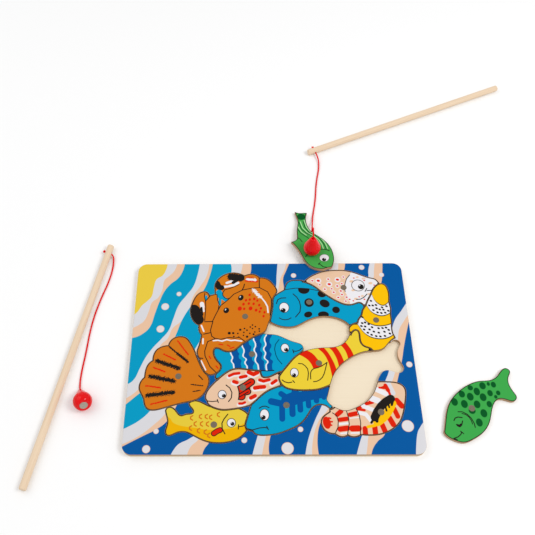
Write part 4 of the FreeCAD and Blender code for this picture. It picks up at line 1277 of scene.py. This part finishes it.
# %% [markdown]
# The goldfish's scales are small orange hooks of one shape, set one by one as on the real
# print, where their rows aren't even. Its fin is a red stroke with a black rim.
# %% The goldfish
gold = prints["goldfish"]
gold.lay(gold.above([(-108, -71), (-104, -73), (-100, -78), (-92, -81), (-75, -83.5),
                     (-66, -85), (-45, -84), (-30, -78.6)]), paint(240, 180, 0), 0.5)
for x, y in [
    (-82.2, -72.8), (-73.3, -71.4), (-67.4, -71.4), (-63, -72.2), (-55.2, -69.4),
    (-78.3, -79), (-72, -79), (-66, -79.2), (-82.8, -83.3), (-74.8, -86), (-68, -87.4),
    (-64.4, -90.8),
]:
    scale = [(x + 1.2, y + 2.3), (x - 0.9, y + 1.1), (x - 0.9, y - 1.1), (x + 1.2, y - 2.3)]
    gold.pen(scale, 1.3, ink_orange)
gold_fin = gold.stroke([(-59.2, -88.8), (-56.2, -86.6), (-53.2, -85.4)], 6.0)
gold.lay(gold_fin, ink_black)
gold.lay(gold_fin + 0.9, ink_red)
gold.pen([(-45.6, -69), (-49.4, -74), (-51.4, -78.3), (-51, -84), (-48.3, -89.2)], 1.1)
gold.pen([(-34.4, -82), (-30.6, -81.4), (-27.2, -80)], 1.0)
gold.pen([(-34.7, -80), (-35, -84.4)], 1.0)
gold.eye((-42, -78), (7.8, 8.2), (-40.9, -79), 4.0)
gold.tell()

# %% [markdown]
# The green spotted fish lies on the table with its print upwards. Deep green ovals cover it,
# and its eye is a closed crescent of pen lines.
# %% The green spotted fish
ink_deep_green = paint(0, 88, 34)
spots = prints["green_spotted_fish"]
for x, y, width, height in [
    (185.4, -55.4, 6.2, 8.2), (194.2, -47, 6.0, 7.4), (204, -40.2, 5.2, 5.6),
    (217, -38, 6.2, 7.8), (223.3, -36, 2.8, 4.2), (228.4, -36.8, 4.8, 6.4),
    (202.3, -49.8, 6.4, 8.4), (210, -44.2, 6, 8.4), (215.3, -50.4, 6.4, 8.4),
    (223.2, -46, 5.2, 6.8), (231.6, -45.8, 4, 5.2), (228.3, -50, 3, 4),
    (195, -57.6, 6.4, 8.6), (207.8, -58, 6.2, 8.2), (220.2, -57.8, 5, 6.8),
    (201.6, -64.6, 6.6, 7), (212.9, -67.4, 6.4, 8.6), (206.6, -77, 6.2, 8.4),
]:
    spots.lay(spots.oval(x, y, width / 2 + 0.2, height / 2), ink_deep_green, 0.5)
spots.pen([(187.2, -65.8), (191.5, -65.9), (196, -68.4), (199.4, -72.6), (201.4, -78),
           (201.6, -82)], 1.0)
spots.pen([(190.9, -67.6), (194.6, -68.8), (197.4, -71.6), (199, -75), (199.6, -78.6)], 0.9)
spots.pen([(181.6, -74.9), (183.2, -72.4), (186.2, -71.3), (190.2, -71.9)], 1.1)
spots.pen([(190.1, -75.4), (189, -78.4), (186, -80.8), (183.4, -79)], 1.1)
spots.pen([(184.6, -79.8), (186.3, -80.7), (188, -79.2)], 2.4)
spots.pen([(186.4, -86), (188, -87.4)], 1.1)
spots.pen([(189, -88.4), (187.4, -86.9), (186, -89.2), (183, -91.6), (179, -93)], 1.0)
spots.pen([(178.6, -93.2), (181.6, -94.4)], 1.1)
spots.tell()

# %% [markdown]
# The green striped fish hangs on a magnet. Its print is drawn in the frame of its recess, where
# it was sawn, and turns with it. Each deep green stripe has a pale one beside it.
# %% The green striped fish
ink_pale_green = paint(178, 228, 165)
stripes = prints["green_striped_fish"]
stripes.lay(stripes.disc(2.4, 26.2, 5.0), ink_deep_green, 0.4)
for points, tone in [
    ([(10.1, 25.8), (19.3, 24.4), (27.4, 25.8), (32.7, 29.2), (38.9, 33.4), (46.2, 35.4),
      (53.4, 35.9), (57.4, 35.4)], ink_deep_green),
    ([(9.6, 20.6), (20.3, 19.4), (27.7, 22.3), (33, 26.4), (42.1, 30.2), (47.2, 31),
      (54, 30.4)], ink_deep_green),
    ([(17, 14.8), (25.7, 16.2), (31.8, 19.6), (38, 23)], ink_deep_green),
    ([(9, 27.4), (19.5, 26.2), (27.6, 27.7), (34.5, 32.4), (41.3, 36.1), (49.3, 37.8),
      (57.8, 37.2)], ink_pale_green),
    ([(9.6, 22.3), (19.1, 21.4), (28, 24.2), (35.7, 29.8), (42.4, 32.6), (50.3, 33.4),
      (56.4, 32.4)], ink_pale_green),
    ([(14, 16.6), (24.4, 17.9), (31.2, 21.4)], ink_pale_green),
]:
    stripes.pen(points, 1.1, tone)
stripes.pen([(30.4, 9.6), (34, 12), (39, 13)], 1.0)
stripes.pen([(60.8, 8.6), (58, 12.4), (56.5, 15.5), (55.6, 21), (55.8, 27), (56.7, 31),
             (58.4, 34.6), (61.6, 37.6)], 1.1)
stripes.pen([(74.8, 18.8), (77.4, 20.6), (80.8, 22.1), (82.6, 25.6)], 1.0)
stripes.pen([(74, 21), (76, 18.4)], 1.0)
stripes.eye((69.3, 28.2), (9.8, 10.6), (71.4, 27), 4.8, ring=0.4)
stripes.tell()

# %% [markdown]
# Every creature has a black outline along the saw cut. It needs no drawing, because each point
# knows how far it is from the edge. On the two green fish it is a little broader.
# %% Outline and varnish every print
outline_width = 0.6
green_outline_width = 0.9
for name in creatures:
    prints[name].outline(green_outline_width if name.startswith("green") else outline_width)
    sawn[name].data.materials.append(prints[name].varnished())
    print(name, len(prints[name].tree.nodes), "nodes")

# %% [markdown]
# The lower sheet shows in the two empty recesses and at the board's edge. It is bare birch
# plywood: pale, with a faint straight grain.
# %% Bare plywood
birch = Finish("bare_birch")
grain_place = birch.node("ShaderNodeMapping", {}, {"Vector": birch.place(),
                                                   "Scale": (0.02, 0.6, 0.6)})
grain = birch.noise(grain_place, scale=1.0, detail=4.0)
birch_tone = birch.mix(grain, paint(247, 232, 206), paint(241, 224, 195))
base_board.data.materials.append(birch.shade(birch_tone, roughness=0.6))
print(birch.material.name, "has", len(birch.tree.nodes), "nodes")

# %% [markdown]
# Pins and magnets are plain short cylinders, so their solids stay and only get a finish. Both
# are dull metal that mirrors little of the white room: the steel is darker, the magnet's plating
# lighter.
# %% Metal
steel = Finish("pin_steel")
mottle = steel.noise(steel.place(), scale=0.9, detail=3.0)
steel_tone = steel.mix(mottle, paint(92, 82, 68), paint(134, 120, 100))
pin_steel = steel.shade(steel_tone, roughness=0.5, Metallic=0.2)
disc = Finish("magnet_grey")
mottle = disc.noise(disc.place(), scale=0.7, detail=2.0)
magnet_tone = disc.mix(mottle, paint(150, 138, 124), paint(196, 184, 168))
magnet_grey = disc.shade(magnet_tone, roughness=0.5, Metallic=0.3)
for name in nodes:
    if name.startswith(("pin_", "magnet_")):
        nodes[name].data.materials.clear()
        nodes[name].data.materials.append(magnet_grey if "magnet" in name else pin_steel)
print("metal on", pin_steel.users, "pins and", magnet_grey.users, "magnets")

# %% [markdown]
# The rods are plain dowels. Their grain runs along them, so the noise is stretched along each
# rod's own heading.
# %% Dowels
rod_headings = {"rod_1": 78.6, "rod_2": 203.4}      # degrees from the x axis
for name, heading in rod_headings.items():
    along = (float(np.cos(np.radians(heading))), float(np.sin(np.radians(heading))), 0.0)
    dowel = Finish("dowel_wood_" + name)
    spot = dowel.place()
    fibres = dowel.node("ShaderNodeCombineXYZ", {}, [
        dowel.vector("DOT_PRODUCT", spot, along, out=1) * 0.02,
        dowel.vector("DOT_PRODUCT", spot, (-along[1], along[0], 0.0), out=1) * 0.9,
        dowel.vector("DOT_PRODUCT", spot, (0.0, 0.0, 1.0), out=1) * 0.9,
    ])
    share = dowel.noise(fibres, scale=1.0, detail=4.0)
    wood = dowel.mix(share, paint(250, 228, 200), paint(230, 200, 166))
    nodes[name].data.materials.clear()
    nodes[name].data.materials.append(dowel.shade(wood, roughness=0.6, Specular_IOR_Level=0.25))
    print(name, "has its grain at", heading, "degrees")

# %% [markdown]
# A float is turned on a lathe and dipped in red lacquer. A Screw modifier could turn it too,
# but arrays give a lid on both ends at once and need no cleaning after it.
# %% Lathe
lacquer = Finish("red_lacquer")
streak = lacquer.noise(lacquer.place(), scale=0.12, detail=2.0)
lacquer_tone = lacquer.mix(streak, paint(246, 4, 12), paint(226, 2, 8))
red_lacquer = lacquer.shade(lacquer_tone, roughness=0.1, Specular_IOR_Level=0.22)


def corner(before, at, after, count=6):
    """A rounded corner from A to C, drawn towards the corner B itself, with t from 0 to 1:
    (1 - t)^2 A + 2 t (1 - t) B + t^2 C."""
    t = np.linspace(0, 1, count)[:, None]
    a, b, c = (np.array(point, float) for point in (before, at, after))
    return (1 - t) ** 2 * a + 2 * t * (1 - t) * b + t ** 2 * c


def turned(name, profile, place, count=64):
    """A lathe's work: each (radius, height) point goes round the z axis as the ring
    (radius cos w, radius sin w, height), with a flat lid on the first and the last ring."""
    sweep = np.linspace(0, 2 * np.pi, count, endpoint=False)
    radius, height = profile.T
    rings = np.stack([radius[:, None] * np.cos(sweep), radius[:, None] * np.sin(sweep),
                      np.repeat(height[:, None], count, axis=1)], axis=-1)
    ids = np.arange(len(profile) * count).reshape(len(profile), count)
    faces = walls_between(ids) + [ids[0, ::-1].tolist(), ids[-1].tolist()]
    return mesh_object(name, placed(rings.reshape(-1, 3), place), faces, smooth_angle=50.0)


print(red_lacquer.name, "has", len(lacquer.tree.nodes), "nodes")

# %% [markdown]
# The profile runs from the socket of the magnet round the belly, up the neck and into the bore
# for the line. The belly is an arc of a ball, and each corner is a short Bezier arc.
# %% Profile of a float
ball_radius, ball_middle, base_height, nose_height = 9.8, 7.4, 0.4, 23.605
socket_radius, socket_height = 4.25, 3.1
bore_radius, bore_height = 1.1, 18.0
belly_from, belly_to = -38, 26      # degrees above the ball's middle
belly_angles = np.radians(np.linspace(belly_from, belly_to, 26))
belly = np.stack([ball_radius * np.cos(belly_angles),
                  ball_middle + ball_radius * np.sin(belly_angles)], axis=1)
base_rim = corner((5.7, base_height), (6.86, base_height), belly[0])
neck = corner((3.55, nose_height - 1.13), (3.0, nose_height), (1.7, nose_height))
float_profile = np.vstack([
    [(socket_radius, socket_height), (socket_radius, 0.6)],
    corner((socket_radius, 0.6), (socket_radius, base_height), (4.5, base_height), 3),
    base_rim, belly[1:], neck,
    corner((1.5, nose_height), (bore_radius, nose_height), (bore_radius, nose_height - 0.5), 4),
    [(bore_radius, bore_height)],
])
print("profile of", len(float_profile), "points,", round(nose_height - base_height, 3), "mm high")

# %% [markdown]
# Float 1 lies on its side and touches the table with its belly and the rim of its nose.
# Float 2 stands on the pin of the green striped fish, so its place follows from the fish.
# %% Turn the floats
float_1_middle = (-193.8, -55.9, 9.8)
float_1_heading = 113.5
float_1_tilt = 90 + 26
floats = {
    "float_1": Matrix.Translation(Vector(float_1_middle) * MM)
    @ Matrix.Rotation(np.radians(float_1_heading), 4, "Z")
    @ Matrix.Rotation(np.radians(float_1_tilt), 4, "Y")
    @ Matrix.Translation((0, 0, -ball_middle * MM)),
    "float_2": face_frame("green_striped_fish")
    @ Matrix.Translation((pin_in_recess[0] * MM, pin_in_recess[1] * MM, pin_proud * MM)),
}
turned_floats = {}
for name, place in floats.items():
    turned_floats[name] = turned("turned_" + name, float_profile, place)
    turned_floats[name].data.materials.append(red_lacquer)
    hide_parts(name)
    print(name, "turned with", len(turned_floats[name].data.polygons), "faces")

# %% [markdown]
# A line is three strands twisted about its middle. The middle is a smooth NURBS curve through
# the line's route. Each strand winds round it as a helix: with the arc length s, its centre is
# p(s) + a (n cos w + b sin w), where w = 2 pi s / pitch, and n and b are square to the curve.
# The soft strands press into each other, so each is thicker than a third of the line. A plain
# tube with a bump would be lighter, but its outline would be too smooth near the camera.
# %% Strands of a line
line_diameter = 1.8
twist_pitch = 4.4
strands = 3
strand_radius = 0.48
strand_offset = line_diameter / 2 - strand_radius
cotton = Finish("line_cotton")
fuzz = cotton.noise(cotton.place(), scale=2.2, detail=3.0)
cotton_tone = cotton.mix(fuzz, paint(250, 20, 26), paint(226, 6, 14))
line_cotton = cotton.shade(cotton_tone, roughness=0.8, Specular_IOR_Level=0.05)
print(strands, "strands of", 2 * strand_radius, "mm, a turn each", twist_pitch, "mm")

# %% [markdown]
# The middle of a line comes from a NURBS curve of order 3, which has no kinks and stays near
# its few control points. Blender works it out, and the curve itself is removed again.
# %% Middle of a line


def route_middle(name, route, points_each_span=60):
    """The points of the smooth NURBS curve that has the route as control points."""
    curve = bpy.data.curves.new(name, "CURVE")
    curve.dimensions = "3D"
    curve.resolution_u = points_each_span
    spline = curve.splines.new("NURBS")
    spline.points.add(len(route) - 1)
    for point, place in zip(spline.points, route):
        point.co = (*[value * MM for value in place], 1)
    spline.order_u = 3
    spline.use_endpoint_u = True
    thing = bpy.data.objects.new(name, curve)
    mesh = bpy.data.meshes.new_from_object(thing)
    points = np.empty(len(mesh.vertices) * 3)
    mesh.vertices.foreach_get("co", points)
    bpy.data.objects.remove(thing)
    bpy.data.meshes.remove(mesh)
    return points.reshape(-1, 3)


print("a route of 4 places gives", len(route_middle("try", [(x, 0, 0) for x in range(4)])),
      "points")

# %% [markdown]
# A strand is a tube round its own centres. Its rings must not twist from one to the next, so
# each starts in a direction that is given from outside and only made square to the heading.
# %% Tubes round a line


def unit(vectors):
    """Vectors divided by their lengths, so that each is 1 long."""
    return vectors / np.linalg.norm(vectors, axis=-1, keepdims=True)


def tube(centres, headings, sideways, radius, sides=7):
    """A tube round a line of centres. With u = sideways, made square to the heading h, and
    v = h x u, each ring is c + radius (u cos w + v sin w)."""
    u = unit(sideways - headings * (sideways * headings).sum(axis=1, keepdims=True))
    v = np.cross(headings, u)
    w = np.linspace(0, 2 * np.pi, sides, endpoint=False)[:, None]
    rings = centres[:, None] + radius * (np.cos(w) * u[:, None] + np.sin(w) * v[:, None])
    ids = np.arange(len(centres) * sides).reshape(len(centres), sides)
    return rings.reshape(-1, 3), ids


upright = np.outer(np.arange(3), (0, 0, 1.0))
print("a tube with 3 rings has",
      len(tube(upright, unit(upright[1:2]), np.array([[1.0, 0, 0]]), 1.0)[0]), "points")

# %% [markdown]
# The strands lie a third of a turn apart. A strand that pointed straight up on its way would
# have no side to start from, so the sides are counted from a direction that no line takes.
# %% Twisted strands
across_all_lines = (0.6, 0.0, 0.8)


def twisted_line(name, middle_line):
    """The strands of a line as one mesh, each wound by w = 2 pi (s / pitch + its share of a
    turn)."""
    ahead = unit(np.gradient(middle_line, axis=0))
    normal = unit(np.cross(ahead, across_all_lines))
    other = np.cross(ahead, normal)
    along = np.r_[0, np.cumsum(np.linalg.norm(np.diff(middle_line, axis=0), axis=1))]
    points, faces = [], []
    for strand in range(strands):
        wind = (2 * np.pi * (along / (twist_pitch * MM) + strand / strands))[:, None]
        outwards = np.cos(wind) * normal + np.sin(wind) * other
        centres = middle_line + strand_offset * MM * outwards
        headings = unit(np.gradient(centres, axis=0))
        rings, ids = tube(centres, headings, outwards, strand_radius * MM)
        ids = ids + strand * len(rings)
        points.append(rings)
        faces += walls_between(ids) + [ids[0, ::-1].tolist(), ids[-1].tolist()]
    return mesh_object(name, np.vstack(points), faces, smooth_angle=80.0)


# %% [markdown]
# A line leaves the cross hole of its rod, falls to the table, wanders over it and enters the
# nose of its float. The routes are set after the photograph. A simulated cord would
# fall somewhere else, and these two must lie where they are seen.
# %% Twist the lines
line_routes = {
    "1": [(-191.32, 129.4, 3.8), (-181.6, 126.9, 3.8), (-180.6, 113.5, 0.92),
          (-183.0, 93.0, 0.92), (-192.3, 62.0, 0.92), (-197.6, 33.0, 0.92),
          (-199.2, 1.0, 0.92), (-201.4, -22.0, 0.92), (-201.04, -39.25, 0.94),
          (-197.46, -47.49, 5.33)],
    "2": [(59.93, 287.11, 3.8), (65.09, 275.18, 3.8), (66.5, 259.5, 0.92), (60.8, 232.0, 0.92),
          (58.5, 205.5, 0.92), (53.6, 180.0, 0.92), (52.2, 164.3, 4.3), (50.4, 150.2, 11.3),
          (49.8, 144.5, 27.5), (49.3, 137.0, 40.0), (49.0, 127.19, 37.3),
          (49.0, 126.27, 27.34)],
}
for number, route in line_routes.items():
    middle_line = route_middle("route_" + number, route)
    line = twisted_line("twisted_line_" + number, middle_line)
    line.data.materials.append(line_cotton)
    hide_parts("line_" + number)

# %% [markdown]
# The stopper knot behind each rod is a trefoil, the simplest knot there is. In units of its
# size, x = sin t + 2 sin 2t, y = cos t - 2 cos 2t, and z = -sin 3t is stretched to its
# thickness. Its z axis lies along the hole in the rod.
# %% Tie the knots
knot_size = 0.42
knot_thickness = 1.0
knot_strand = 0.55
knot_sits_back = 0.45
t = np.linspace(0, 2 * np.pi, 96, endpoint=False)
trefoil = np.stack([knot_size * (np.sin(t) + 2 * np.sin(2 * t)),
                    knot_size * (np.cos(t) - 2 * np.cos(2 * t)),
                    -knot_thickness * np.sin(3 * t)], axis=1)
for number, route in line_routes.items():
    low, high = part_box("knot_" + number)
    out = Vector(np.subtract(route[0], route[1])).normalized()
    turn = np.array(out.to_track_quat("Z", "Y").to_matrix())
    seat = np.array((low + high) / 2 - out * knot_sits_back * MM)
    centres = trefoil * MM @ turn.T + seat
    headings = unit(np.roll(centres, -1, axis=0) - np.roll(centres, 1, axis=0))
    sideways = np.cross(headings, np.array(out))
    rings, ids = tube(centres, headings, sideways, knot_strand * MM)
    knot = mesh_object("tied_knot_" + number, rings, walls_between(np.vstack([ids, ids[:1]])),
                       smooth_angle=80.0)
    knot.data.materials.append(line_cotton)
    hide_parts("knot_" + number)
    print("knot", number, "tied with", len(rings), "points")
